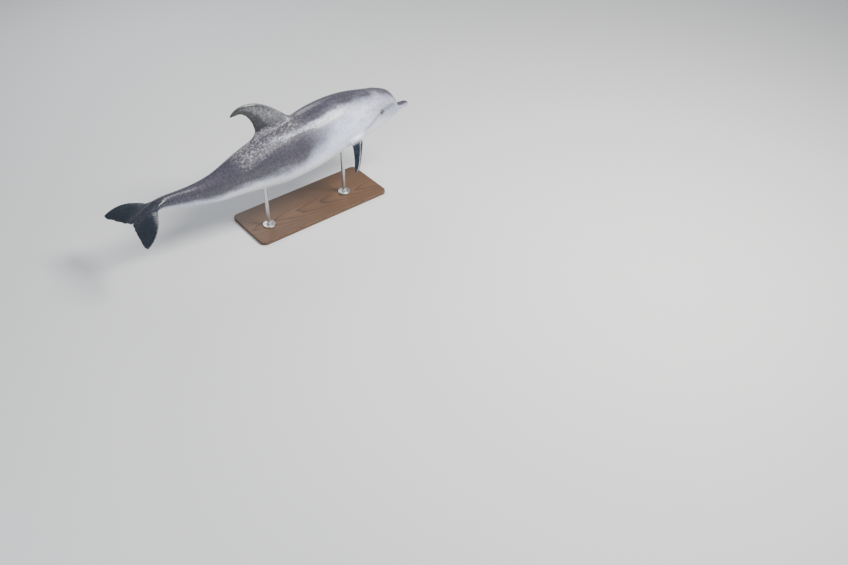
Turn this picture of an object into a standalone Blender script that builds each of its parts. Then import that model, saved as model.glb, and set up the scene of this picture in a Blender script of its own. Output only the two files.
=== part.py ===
# Life-size bottlenose dolphin in a swimming pose, held by a plain display stand.
# +X is the way it swims, +Y its left side and +Z up. The origin is the centre of the stand's underside.
#
# The animal is first laid out straight, in percent of its own length: a point is (along, left, up),
# with along counted backwards from the tip of the beak. One cage of faces makes the whole skin with its
# fins, the cage is bent into the pose, and thin cuts part it into the pieces a person would name.

import math

import bmesh
import bpy
import numpy as np
from mathutils import Matrix, Vector

BODY_LENGTH = 2.60  # metres, tip of the beak to the notch between the flukes
PERCENT = BODY_LENGTH / 100
CUT = 0.0004  # metres, width of the thin cuts between pieces
CUT_PERCENT = CUT / PERCENT
CLEAR = 0.0003  # metres, gap between the rods and what they carry
COLUMNS = 16  # faces round the body in the cage
SIDE = COLUMNS // 4  # the column that runs along the mouth line and the widest part of the body
SMOOTHING = 1  # subdivision level

# Rings of the cage, in percent of the body length behind the beak tip
HEAD_RINGS = (0.35, 1.2, 2.6, 4.1, 4.9, 5.6, 6.8, 8.8, 11.4, 14.6, 18.4)
FLIPPER_RINGS = (22.2, 24.2, 26.3, 28.6)
CHEST_RINGS = (32.8, 37.2)
DORSAL_RINGS = (41.4, 45.4, 49.5, 53.6, 57.8)
TAIL_RINGS = (63.0, 69.0, 75.0, 81.0, 86.4, 90.0)
FLUKE_RINGS = (92.0, 94.0, 96.0, 97.9, 99.5)

# Lines of the straight body: (along, value) knots, all in percent of the body length
BACK = (
    (0, -1.5), (3.6, -1.25), (4.8, -0.8), (5.5, 0.9), (6.6, 3.0), (8.4, 4.7), (12, 6.1), (16, 6.9), (25, 8.4),
    (38, 9.6), (50, 9.1), (62, 7.2), (72, 5.0), (82, 3.1), (90, 2.0), (95, 1.05), (101, 0.35),
)
BELLY = (
    (0, -3.75), (3, -4.1), (6, -4.6), (10.5, -5.7), (20, -7.9), (36, -9.4), (50, -8.8),
    (64, -6.5), (74, -4.3), (82, -2.95), (90, -1.9), (95, -1.0), (101, -0.35),
)
# The mouth line, which runs on as the level of the body's widest part
MOUTH = ((0, -2.65), (3, -2.8), (6.5, -2.75), (9.5, -2.2), (12.2, -1.45), (16, -0.9), (26, -0.3), (40, 0))
BREADTH = (
    (0, 1.15), (2.4, 1.45), (4.7, 2.0), (6.2, 3.05), (8.5, 4.2), (13, 5.35), (20, 6.6), (28, 7.6),
    (37, 8.1), (50, 7.0), (64, 4.5), (74, 2.9), (82, 1.95), (88, 1.5), (92, 1.75), (96, 2.0), (101, 1.4),
)
# Roundness of a section: 2 is an ellipse, less is pinched to a keel above and below
ROUNDNESS = ((0, 2.3), (6, 2.1), (30, 2.05), (60, 1.95), (76, 1.7), (88, 1.75), (95, 2.1))
BLUNT_NOSE = 1.3
BLUNT_TAIL = 0.9
TAIL_END = 100.2

# Pose: the beak-up pitch of the body axis in degrees, the twist of the tail and the roll of the whole animal
PITCH = ((0, -1), (20, -1), (35, 12), (47, 6.5), (57, 4), (67, 8), (77, -3), (88, -9), (94, 13), (100, 28))
TAIL_TWIST = 4.75
TWIST_START = 60
ROLL = -11.9
AXIS_PLACE = 45  # the place along the axis that BODY_PLACE holds
BODY_PLACE = Vector((-0.12, -0.005, 0.62))  # metres, with the centre of mass above the stand's middle
SPINE_STEP = 0.25  # percent

# Fins: leading and trailing edges as (along, out) knots from root to tip, out from the body axis
DORSAL_FIN = {
    "lead": (
        (42.9, 10.25), (44.6, 12.0), (48.8, 16.0), (53.8, 18.75), (57.8, 19.45), (60.4, 18.95), (61.7, 18.0),
    ),
    "trail": (
        (57.0, 9.1), (55.7, 10.5), (56.1, 13.6), (57.6, 16.3), (59.3, 17.35), (60.6, 17.4), (61.4, 17.35),
    ),
    "thick": ((0, 2.7), (0.25, 1.95), (0.6, 1.35), (1, 0.45)),
    "sections": (0.03, 0.24, 0.48, 0.7, 0.88, 1.0),
    "out": Vector((0, 0, 1)),
    "side": Vector((0, 1, 0)),
    "rings": DORSAL_RINGS,
    "column": 0,
}
FLUKE = {
    "lead": ((93.1, 2.7), (94.7, 6.1), (97.0, 10.1), (99.6, 12.6), (102.0, 13.8), (103.5, 14.05)),
    "trail": ((100.9, 2.3), (102.0, 3.9), (102.8, 6.6), (103.5, 9.8), (104.1, 12.4), (104.1, 13.5)),
    "thick": ((0, 1.15), (0.3, 0.95), (0.7, 0.65), (1, 0.35)),
    "sections": (0.04, 0.3, 0.55, 0.8, 1.0),
    "out": Vector((0, 1, 0)),
    "side": Vector((0, 0, -1)),
    "rings": FLUKE_RINGS,
    "column": SIDE,
}
FLIPPER_DROOP = math.radians(41)  # how far the flippers point down
FLIPPER = {
    "lead": ((23.2, 8.4), (24.7, 10.4), (27.4, 13.2), (30.6, 15.9), (33.0, 17.5), (34.3, 17.9)),
    "trail": ((28.4, 8.3), (28.9, 9.8), (30.4, 12.2), (32.4, 14.7), (34.1, 16.5), (34.8, 17.5)),
    "thick": ((0, 2.3), (0.3, 1.6), (0.7, 0.95), (1, 0.4)),
    "sections": (0.06, 0.32, 0.6, 0.84, 1.0),
    "out": Vector((0, math.cos(FLIPPER_DROOP), -math.sin(FLIPPER_DROOP))),
    "side": Vector((0, -math.sin(FLIPPER_DROOP), -math.cos(FLIPPER_DROOP))),
    "rings": FLIPPER_RINGS,
    "column": SIDE + SIDE // 2,
}
EDGE_HALF = 0.09  # least half thickness of a fin's edge, percent

# Where the pieces part, in percent of the body length
NECK = 19.6
TAIL_ROOT = 66.5
BEAK_ROOT_TOP = 4.9
BEAK_ROOT_MOUTH = 6.3
JAW_HINGE_TOP = 12.1
JAW_HINGE_BOTTOM = 13.4
DORSAL_CUT = ((42.5, 10.0), (57.5, 8.8))  # a line just above the back
FLIPPER_CUT = ((22.5, 8.3), (37.5, 9.5))  # out from the body axis, just clear of the flank
FLUKE_CUT = ((90, 2.65), (104, 2.65))

EYE_ALONG = 14.0
EYE_COLUMN_ANGLE = math.radians(84)
EYE_RADIUS = 0.0150  # metres
EYE_SUNK = 0.0105  # metres, from the skin to the eyeball's centre

# Stand, in metres
BASE_SIZE = (1.24, 0.50, 0.030)
BASE_CORNER = 0.045
BASE_EDGE = 0.004
ROD_RADIUS = 0.016
FLANGE_RADIUS = 0.052
FLANGE_HEIGHT = 0.010
COLLAR_RADIUS = 0.024
COLLAR_HEIGHT = 0.028
ROD_PLACES = {"front": 29.0, "rear": 58.0}
ROD_SIDES = 16

COLOURS = {
    "back": (0.13, 0.12, 0.13, 1),
    "flank": (0.30, 0.28, 0.29, 1),
    "fin": (0.10, 0.09, 0.10, 1),
    "eye": (0.02, 0.012, 0.008, 1),
    "wood": (0.10, 0.052, 0.028, 1),
    "steel": (0.56, 0.56, 0.55, 1),
}


def smooth_curve(knots):
    """A curve through (place, value) knots, which never swings past them."""
    place, value = np.array(knots, float).T
    slope = np.diff(value) / np.diff(place)
    lean = np.concatenate([slope[:1], np.zeros(len(place) - 2), slope[-1:]])
    for i in range(1, len(place) - 1):
        before, after = slope[i - 1], slope[i]
        if before * after > 0:
            lean[i] = 2 * before * after / (before + after)

    def curve(at):
        at = np.clip(at, place[0], place[-1])
        i = np.clip(np.searchsorted(place, at, side="right") - 1, 0, len(place) - 2)
        span = place[i + 1] - place[i]
        t = (at - place[i]) / span
        ends = value[i] * (1 + 2 * t) * (1 - t) ** 2 + value[i + 1] * t * t * (3 - 2 * t)
        return ends + span * (lean[i] * t * (1 - t) ** 2 - lean[i + 1] * t * t * (1 - t))

    return curve


def edge_curve(points):
    """A curve through (along, out) points, from 0 at the first to 1 at the last."""
    points = np.array(points, float)
    run = np.concatenate([[0], np.cumsum(np.linalg.norm(np.diff(points, axis=0), axis=1))])
    run /= run[-1]
    along = smooth_curve(np.stack([run, points[:, 0]], 1))
    out = smooth_curve(np.stack([run, points[:, 1]], 1))
    return lambda u: (float(along(u)), float(out(u)))


back = smooth_curve(BACK)
belly = smooth_curve(BELLY)
mouth = smooth_curve(MOUTH)
breadth = smooth_curve(BREADTH)
roundness = smooth_curve(ROUNDNESS)


def end_rounding(along):
    """1 along the body, falling in a quarter ellipse to 0 at the beak tip and at the tail's end."""
    nose = min(max(along / BLUNT_NOSE, 0), 1)
    tail = min(max((TAIL_END - along) / BLUNT_TAIL, 0), 1)
    return math.sqrt(1 - (1 - nose) ** 2) * math.sqrt(1 - (1 - tail) ** 2)


def body_point(along, angle):
    """The skin of the straight body. Angle 0 is on the back, and a quarter turn is on its left side."""
    power = 2 / roundness(along)
    rounding = end_rounding(along)
    across = math.copysign(abs(math.sin(angle)) ** power, math.sin(angle))
    upward = math.copysign(abs(math.cos(angle)) ** power, math.cos(angle))
    middle = mouth(along)
    reach = (back(along) if upward > 0 else belly(along)) - middle
    return Vector((along, breadth(along) * across * rounding, middle + reach * abs(upward) * rounding))


def fade(along, start, end, margin=7.0):
    """1 between start and end, falling smoothly to 0 within the margin outside them."""
    beyond = max(start - along, along - end, 0) / margin
    return max(0.0, 1 - beyond * beyond) ** 2


def column_angle(along, column):
    """Angle of a column. Columns draw together at a thin fin's root and spread at the flukes' broad one."""
    angle = 2 * math.pi * column / COLUMNS
    turn = (angle + math.pi) % (2 * math.pi) - math.pi

    def squeeze(shape, centre, amount, reach, shift=0.0):
        near = fade(along, shape["rings"][0], shape["rings"][-1])
        off = turn - centre
        return near * math.exp(-((off / math.radians(reach)) ** 2)) * (amount * off + shift)

    angle -= squeeze(DORSAL_FIN, 0, 0.62, 60)
    for side in (1, -1):
        root = side * 2 * math.pi * FLIPPER["column"] / COLUMNS
        angle -= squeeze(FLIPPER, root, 0.72, 40, side * math.radians(5))
        angle += squeeze(FLUKE, side * math.pi / 2, 0.9, 40)
    return angle


class Cage:
    """The faces of the whole skin, with the place that the smooth surface has to reach at each vertex."""

    def __init__(self):
        self.bm = bmesh.new()
        self.targets = {}

    def vertex(self, point):
        vertex = self.bm.verts.new(point)
        self.targets[vertex] = Vector(point)
        return vertex

    def body(self, rings, openings):
        """Rings of the body, leaving out the faces under each fin."""
        self.rings = rings
        self.grid = [
            [self.vertex(body_point(s, column_angle(s, j))) for j in range(COLUMNS)]
            for s in rings
        ]
        for i in range(len(rings) - 1):
            for j in range(COLUMNS):
                if (i, j) not in openings:
                    near, far = self.grid[i], self.grid[i + 1]
                    after = (j + 1) % COLUMNS
                    self.bm.faces.new((near[j], near[after], far[after], far[j]))

    def end_cap(self, rim, along_at):
        """A square grid of faces that closes a ring, with along_at the place for a share of the ring's size."""
        half = COLUMNS // 8
        spots = {}
        for a in range(-half, half + 1):
            for b in range(-half, half + 1):
                shell = max(abs(a), abs(b))
                if b == shell and a >= 0:
                    step = a
                elif a == shell:
                    step = 2 * shell - b
                elif b == -shell:
                    step = 4 * shell - a
                elif a == -shell:
                    step = 6 * shell + b
                else:
                    step = 8 * shell + a
                if shell == half:
                    spots[a, b] = rim[step % COLUMNS]
                else:
                    angle = 2 * math.pi * step / max(8 * shell, 1)
                    spots[a, b] = self.vertex(body_point(along_at(shell / half), angle))
        for a in range(-half, half):
            for b in range(-half, half):
                corners = (spots[a, b], spots[a + 1, b], spots[a + 1, b + 1], spots[a, b + 1])
                self.bm.faces.new(corners)

    def fin(self, shape, side):
        """A fin lofted from its opening in the body, whose rim is its first section. side is 1 for the left."""
        first = self.rings.index(shape["rings"][0])
        last = self.rings.index(shape["rings"][-1])
        middle, lower, upper = (side * (shape["column"] + k) % COLUMNS for k in (0, 1, -1))
        ring = [self.grid[first][middle]]
        ring += [self.grid[i][lower] for i in range(first, last + 1)]
        ring += [self.grid[last][middle]]
        ring += [self.grid[i][upper] for i in range(last, first - 1, -1)]
        for section in fin_sections(shape, last - first + 1):
            after = [self.vertex((p.x, p.y * side, p.z)) for p in section]
            for k in range(len(ring)):
                n = (k + 1) % len(ring)
                self.bm.faces.new((ring[k], ring[n], after[n], after[k]))
            ring = after
        count = last - first + 1
        one = ring[1:count + 1]
        other = ring[:count + 1:-1]
        self.bm.faces.new((ring[0], one[0], other[0]))
        self.bm.faces.new((ring[count + 1], other[-1], one[-1]))
        for k in range(count - 1):
            self.bm.faces.new((one[k], one[k + 1], other[k + 1], other[k]))

    def settle(self, rounds=5):
        """Moves the cage until its subdivided surface passes through the wanted places."""
        used = [v for v in self.bm.verts if v.link_faces]
        for _ in range(rounds):
            misses = []
            for vertex in used:
                n = len(vertex.link_edges)
                faces = sum((f.calc_center_median() for f in vertex.link_faces), Vector()) / n
                edges = sum((e.verts[0].co + e.verts[1].co for e in vertex.link_edges), Vector()) / (2 * n)
                once = (faces + 2 * edges + (n - 3) * vertex.co) / n
                misses.append(self.targets[vertex] - once)
            for vertex, miss in zip(used, misses, strict=True):
                vertex.co += miss
        loose = [v for v in self.bm.verts if not v.link_faces]
        bmesh.ops.delete(self.bm, geom=loose, context="VERTS")


def half_thickness(share):
    """Half of a wing section's thickness at a share of its chord, for a full thickness of 1."""
    root = 0.2969 * math.sqrt(share)
    return 5 * (root - 0.1260 * share - 0.3516 * share**2 + 0.2843 * share**3 - 0.1036 * share**4)


def fin_sections(shape, count):
    """Closed loops across the fin: leading edge, one side, trailing edge, other side."""
    lead, trail = edge_curve(shape["lead"]), edge_curve(shape["trail"])
    thick = smooth_curve(shape["thick"])
    shares = [(1 - math.cos(math.pi * (k + 0.5) / count)) / 2 for k in range(count)]

    def place(start, end, share, off):
        along = start[0] + (end[0] - start[0]) * share
        out = start[1] + (end[1] - start[1]) * share
        return Vector((along, 0, 0)) + shape["out"] * out + shape["side"] * off

    for u in shape["sections"]:
        start, end = lead(u), trail(u)
        offs = [max(float(thick(u)) * half_thickness(x), EDGE_HALF) for x in shares]
        loop = [place(start, end, 0, 0)]
        loop += [place(start, end, x, off) for x, off in zip(shares, offs, strict=True)]
        loop += [place(start, end, 1, 0)]
        loop += [place(start, end, x, -off) for x, off in reversed(list(zip(shares, offs, strict=True)))]
        yield loop


def bent_spine():
    """The bent body axis: places, forward directions and the twist, every SPINE_STEP percent."""
    along = np.arange(0, 100 + SPINE_STEP, SPINE_STEP)
    pitch = np.radians(smooth_curve(PITCH)(along))
    forward = np.stack([np.cos(pitch), np.zeros_like(pitch), np.sin(pitch)], 1)
    steps = (forward[1:] + forward[:-1]) / 2 * SPINE_STEP * PERCENT
    places = -np.concatenate([np.zeros((1, 3)), np.cumsum(steps, axis=0)])
    places -= places[round(AXIS_PLACE / SPINE_STEP)]
    twist = np.radians(TAIL_TWIST) * np.clip((along - TWIST_START) / (100 - TWIST_START), 0, 1)
    return places, forward, twist


SPINE = bent_spine()


def posed(point):
    """A point of the straight animal, in percent, moved to its place in the pose, in metres."""
    along, left, up = point
    places, forward, twist = SPINE
    at = min(max(along, 0), 100) / SPINE_STEP
    i = min(int(at), len(places) - 2)
    t = at - i
    ahead = Vector(forward[i] * (1 - t) + forward[i + 1] * t).normalized()
    turn = twist[i] * (1 - t) + twist[i + 1] * t
    upward = ahead.cross(Vector((0, 1, 0)))
    leftward = Vector((0, math.cos(turn), 0)) + upward * math.sin(turn)
    upward = upward * math.cos(turn) - Vector((0, math.sin(turn), 0))
    spot = Vector(places[i] * (1 - t) + places[i + 1] * t)
    spot += (leftward * left + upward * up - ahead * (along - min(max(along, 0), 100))) * PERCENT
    return Matrix.Rotation(math.radians(ROLL), 3, "X") @ spot + BODY_PLACE


def remove_everything():
    for thing in list(bpy.data.objects):
        bpy.data.objects.remove(thing)


def make_material(name, colour, roughness, metallic=0.0):
    material = bpy.data.materials.new(name)
    material.use_nodes = True
    shader = material.node_tree.nodes["Principled BSDF"]
    shader.inputs["Base Color"].default_value = COLOURS[colour]
    shader.inputs["Roughness"].default_value = roughness
    shader.inputs["Metallic"].default_value = metallic
    return material


def make_object(name, bm):
    """An object with outward faces, shaded smooth, from a bmesh in metres."""
    bmesh.ops.recalc_face_normals(bm, faces=bm.faces)
    if bm.calc_volume(signed=True) < 0:
        bmesh.ops.reverse_faces(bm, faces=bm.faces)
    mesh = bpy.data.meshes.new(name)
    bm.to_mesh(mesh)
    bm.free()
    mesh.shade_smooth()
    thing = bpy.data.objects.new(name, mesh)
    bpy.context.scene.collection.objects.link(thing)
    return thing


def as_guide(thing):
    thing.hide_render = True
    thing.display_type = "WIRE"
    return thing


def boolean(thing, other, operation="DIFFERENCE"):
    cut = thing.modifiers.new(other.name, "BOOLEAN")
    cut.operation = operation
    cut.solver = "EXACT"
    cut.object = other


def subdivide(thing):
    smooth = thing.modifiers.new("smooth", "SUBSURF")
    smooth.levels = SMOOTHING
    smooth.render_levels = SMOOTHING


def make_form():
    """The whole skin in its pose, as a guide that every piece of the animal is cut from."""
    rings = HEAD_RINGS + FLIPPER_RINGS + CHEST_RINGS + DORSAL_RINGS + TAIL_RINGS + FLUKE_RINGS
    fins = ((DORSAL_FIN, 1), (FLUKE, 1), (FLUKE, -1), (FLIPPER, 1), (FLIPPER, -1))
    openings = set()
    for shape, side in fins:
        first, last = rings.index(shape["rings"][0]), rings.index(shape["rings"][-1])
        columns = [(side * (shape["column"] + k) - (side < 0)) % COLUMNS for k in (0, -1)]
        openings |= {(i, j) for i in range(first, last) for j in columns}
    cage = Cage()
    cage.body(rings, openings)
    nose, tail = end_rounding(rings[0]), end_rounding(rings[-1])
    cage.end_cap(cage.grid[0], lambda q: BLUNT_NOSE * (1 - math.sqrt(1 - (q * nose) ** 2)))
    cage.end_cap(cage.grid[-1], lambda q: TAIL_END - BLUNT_TAIL * (1 - math.sqrt(1 - (q * tail) ** 2)))
    for shape, side in fins:
        cage.fin(shape, side)
    cage.settle()
    for vertex in cage.bm.verts:
        vertex.co = posed(vertex.co)
    form = make_object("form", cage.bm)
    subdivide(form)
    return as_guide(form)


def block(name, ribs):
    """A closed guide block through four-cornered ribs of the straight animal, bent with it."""
    bm = bmesh.new()
    rings = [[bm.verts.new(posed(corner)) for corner in rib] for rib in ribs]
    for near, far in zip(rings, rings[1:]):
        for k in range(4):
            n = (k + 1) % 4
            bm.faces.new((near[k], near[n], far[n]))  # triangles, because a bent face isn't flat
            bm.faces.new((near[k], far[n], far[k]))
    bm.faces.new(rings[0])
    bm.faces.new(rings[-1])
    return as_guide(make_object(name, bm))


def section_ribs(start, end, count, reach=26.0):
    """Ribs of a block that takes the whole body between two places."""
    ribs = []
    for k in range(count + 1):
        s = start + (end - start) * k / count
        ribs.append(((s, -reach, reach), (s, reach, reach), (s, reach, -reach), (s, -reach, -reach)))
    return ribs


def jaw_ribs(grow, reach=12.0):
    """The block under the mouth line, from ahead of the beak to a slanting cut behind the gape."""
    ribs = []
    count = 12
    for k in range(count + 1):
        top = -2 + (JAW_HINGE_TOP + grow + 2) * k / count
        bottom = -2 + (JAW_HINGE_BOTTOM + grow + 2) * k / count
        line = float(mouth(top)) + grow
        upper = ((top, -reach, line), (top, reach, line))
        ribs.append(upper + ((bottom, reach, -reach), (bottom, -reach, -reach)))
    return ribs


def beak_ribs(grow, reach=12.0):
    """The block round the upper beak, back to its crease with the melon."""
    slant = (BEAK_ROOT_MOUTH - BEAK_ROOT_TOP) / (back(BEAK_ROOT_TOP) - mouth(BEAK_ROOT_MOUTH))
    rear_top = BEAK_ROOT_TOP - slant * (reach - back(BEAK_ROOT_TOP)) + grow
    rear_bottom = BEAK_ROOT_TOP + slant * (reach + back(BEAK_ROOT_TOP)) + grow
    ribs = []
    for top, bottom in ((-8, -8), (rear_top, rear_bottom)):
        upper = ((top, -reach, reach), (top, reach, reach))
        ribs.append(upper + ((bottom, reach, -reach), (bottom, -reach, -reach)))
    return ribs


def dorsal_ribs(grow, reach=14.0):
    """The block that holds the dorsal fin, whose floor runs just above the back."""
    (s0, z0), (s1, z1) = DORSAL_CUT
    ribs = []
    for s in (36, 40, 44, 48, 52, 56, 60, 64, 68):
        floor = z0 + (z1 - z0) * (s - s0) / (s1 - s0) - grow
        ribs.append(((s, -reach, floor), (s, reach, floor), (s, reach, 30), (s, -reach, 30)))
    return ribs


def fin_ribs(shape, side, stations, cut, grow, farthest=32.0, reach=9.0):
    """The block that holds a paired fin, from a plane just outside the body."""
    (s0, out0), (s1, out1) = cut
    ribs = []
    for s in stations:
        corners = []
        nearest = out0 + (out1 - out0) * (s - s0) / (s1 - s0) - grow
        for out, off in ((nearest, -reach), (farthest, -reach), (farthest, reach), (nearest, reach)):
            p = shape["out"] * out + shape["side"] * off
            corners.append((s, p.y * side, p.z))
        ribs.append(corners)
    return ribs


def make_flesh(form, name, material, keep, leave=()):
    """One piece of the animal: the form inside one block, without what the other blocks hold."""
    piece = bpy.data.objects.new(name, form.data.copy())
    bpy.context.scene.collection.objects.link(piece)
    piece.data.materials.append(material)
    subdivide(piece)
    boolean(piece, keep, "INTERSECT")
    for other in leave:
        boolean(piece, other)
    return piece


def eye_centre(side):
    """The eyeball's centre, sunk along the skin's own slope."""
    here = posed(body_point(EYE_ALONG, side * EYE_COLUMN_ANGLE))
    ahead = posed(body_point(EYE_ALONG - 1, side * EYE_COLUMN_ANGLE)) - here
    above = posed(body_point(EYE_ALONG, side * (EYE_COLUMN_ANGLE - 0.1))) - here
    inward = ahead.cross(above).normalized() * side
    return here + inward * EYE_SUNK


def make_ball(name, centre, radius):
    bm = bmesh.new()
    bmesh.ops.create_uvsphere(bm, u_segments=12, v_segments=8, radius=radius)
    ball = make_object(name, bm)
    ball.location = centre
    return ball


def make_animal(form):
    skin = {key: make_material("skin_" + key, key, 0.35) for key in ("back", "flank", "fin")}
    half = CUT_PERCENT / 2
    head_block = block("head_block", section_ribs(-6, NECK - half, 6))
    trunk_block = block("trunk_block", section_ribs(NECK + half, TAIL_ROOT - half, 12))
    tail_block = block("tail_block", section_ribs(TAIL_ROOT + half, 110, 12))
    jaw_block = block("jaw_block", jaw_ribs(0))
    jaw_room = block("jaw_room", jaw_ribs(CUT_PERCENT))
    beak_block = block("beak_block", beak_ribs(0))
    beak_room = block("beak_room", beak_ribs(CUT_PERCENT))
    dorsal_block = block("dorsal_block", dorsal_ribs(0))
    dorsal_room = block("dorsal_room", dorsal_ribs(CUT_PERCENT))
    sides = {"left": 1, "right": -1}
    paired = {
        "flipper": (FLIPPER, (17, 22, 27, 32, 37, 42), FLIPPER_CUT),
        "fluke": (FLUKE, (88, 92, 96, 100, 104, 108), FLUKE_CUT),
    }
    rooms = {"flipper": [], "fluke": []}
    eye_rooms = []
    for word, side in sides.items():
        for fin, (shape, stations, cut) in paired.items():
            room_ribs = fin_ribs(shape, side, stations, cut, CUT_PERCENT)
            rooms[fin].append(block(f"{fin}_room_{word}", room_ribs))
            fin_block = block(f"{fin}_block_{word}", fin_ribs(shape, side, stations, cut, 0))
            make_flesh(form, f"{fin}_{word}", skin["fin"], fin_block)
        eye = make_ball("eye_" + word, eye_centre(side), EYE_RADIUS)
        eye.data.materials.append(make_material("eye_" + word, "eye", 0.08))
        eye_rooms.append(as_guide(make_ball("socket_" + word, eye_centre(side), EYE_RADIUS + CUT)))
    make_flesh(form, "head", skin["back"], head_block, [jaw_room, beak_room] + eye_rooms)
    make_flesh(form, "upper_beak", skin["back"], beak_block, [jaw_room])
    make_flesh(form, "lower_jaw", skin["flank"], jaw_block)
    make_flesh(form, "trunk", skin["flank"], trunk_block, [dorsal_room] + rooms["flipper"])
    make_flesh(form, "dorsal_fin", skin["fin"], dorsal_block)
    make_flesh(form, "tail_stock", skin["back"], tail_block, rooms["fluke"])


def make_base():
    """A flat board with round corners and a small chamfer round its top edge."""
    length, width, height = BASE_SIZE
    bm = bmesh.new()
    corners = []
    steps = 6
    for k in range(4):
        turn = math.pi / 2 * k
        x = (length / 2 - BASE_CORNER) * (1 if k in (0, 3) else -1)
        y = (width / 2 - BASE_CORNER) * (1 if k in (0, 1) else -1)
        for i in range(steps + 1):
            angle = turn + math.pi / 2 * i / steps
            corners.append((x + BASE_CORNER * math.cos(angle), y + BASE_CORNER * math.sin(angle), 0))
    bottom = bm.faces.new([bm.verts.new(c) for c in corners])
    raised = bmesh.ops.extrude_face_region(bm, geom=[bottom])
    top = [v for v in raised["geom"] if isinstance(v, bmesh.types.BMVert)]
    bmesh.ops.translate(bm, verts=top, vec=(0, 0, height))
    rim = [e for e in bm.edges if all(v in top for v in e.verts)]
    bmesh.ops.bevel(bm, geom=rim, offset=BASE_EDGE, segments=2, affect="EDGES", profile=0.5)
    base = make_object("stand_base", bm)
    base.data.set_sharp_from_angle(angle=math.radians(30))
    base.data.materials.append(make_material("stand_wood", "wood", 0.45))


def make_rod(word, along, shell, material):
    """A turned rod with a foot flange and a collar, cut at its top to the skin it carries."""
    spot = posed(Vector((along, 0, float(belly(along)))))
    floor = BASE_SIZE[2] + CLEAR
    top = spot.z + 0.05
    profile = (
        (0, floor), (FLANGE_RADIUS, floor), (FLANGE_RADIUS, floor + FLANGE_HEIGHT * 0.7),
        (FLANGE_RADIUS - FLANGE_HEIGHT * 0.3, floor + FLANGE_HEIGHT), (COLLAR_RADIUS, floor + FLANGE_HEIGHT),
        (COLLAR_RADIUS, floor + COLLAR_HEIGHT), (ROD_RADIUS, floor + COLLAR_HEIGHT),
        (ROD_RADIUS, top), (0, top),
    )
    bm = bmesh.new()
    line = [bm.verts.new((r, 0, z)) for r, z in profile]
    edges = [bm.edges.new(pair) for pair in zip(line, line[1:])]
    bmesh.ops.spin(bm, geom=line + edges, axis=(0, 0, 1), cent=(0, 0, 0), angle=2 * math.pi, steps=ROD_SIDES)
    bmesh.ops.remove_doubles(bm, verts=bm.verts, dist=0.0001)
    rod = make_object("stand_rod_" + word, bm)
    rod.data.set_sharp_from_angle(angle=math.radians(30))
    rod.location = (spot.x, spot.y, 0)
    rod.data.materials.append(material)
    boolean(rod, shell)


def make_stand(form):
    make_base()
    shell = bpy.data.objects.new("shell", form.data.copy())
    bpy.context.scene.collection.objects.link(shell)
    subdivide(as_guide(shell))
    swell = shell.modifiers.new("swell", "DISPLACE")
    swell.mid_level = 0
    swell.strength = CLEAR
    steel = make_material("stand_steel", "steel", 0.3, 1.0)
    for word, along in ROD_PLACES.items():
        make_rod(word, along, shell, steel)


remove_everything()
whole = make_form()
make_animal(whole)
make_stand(whole)
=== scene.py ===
import math

import bmesh
import bpy
import numpy as np
from mathutils import Matrix, Vector


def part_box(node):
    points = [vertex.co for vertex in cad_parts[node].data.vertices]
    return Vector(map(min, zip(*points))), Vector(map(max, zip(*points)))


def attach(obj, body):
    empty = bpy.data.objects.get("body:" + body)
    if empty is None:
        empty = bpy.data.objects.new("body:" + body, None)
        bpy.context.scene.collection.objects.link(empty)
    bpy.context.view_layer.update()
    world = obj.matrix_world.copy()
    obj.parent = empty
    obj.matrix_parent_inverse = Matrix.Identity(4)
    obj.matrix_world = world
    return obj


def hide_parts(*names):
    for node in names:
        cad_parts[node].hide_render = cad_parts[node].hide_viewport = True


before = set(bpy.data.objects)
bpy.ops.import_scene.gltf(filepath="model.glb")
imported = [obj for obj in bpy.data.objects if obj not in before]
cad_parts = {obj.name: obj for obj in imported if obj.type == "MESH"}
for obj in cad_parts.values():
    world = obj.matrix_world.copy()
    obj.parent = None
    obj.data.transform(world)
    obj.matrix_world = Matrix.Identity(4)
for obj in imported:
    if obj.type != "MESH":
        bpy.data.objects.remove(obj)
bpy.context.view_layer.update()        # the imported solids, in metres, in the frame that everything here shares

# A wet bottlenose dolphin, life size, on a display stand. +X is the way it swims, +Y its left, +Z up.
# The skin is first made straight, in percent of the body length: (along from the beak tip, left, up).
# It is then bent into the pose, exactly as the solids are.

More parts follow.
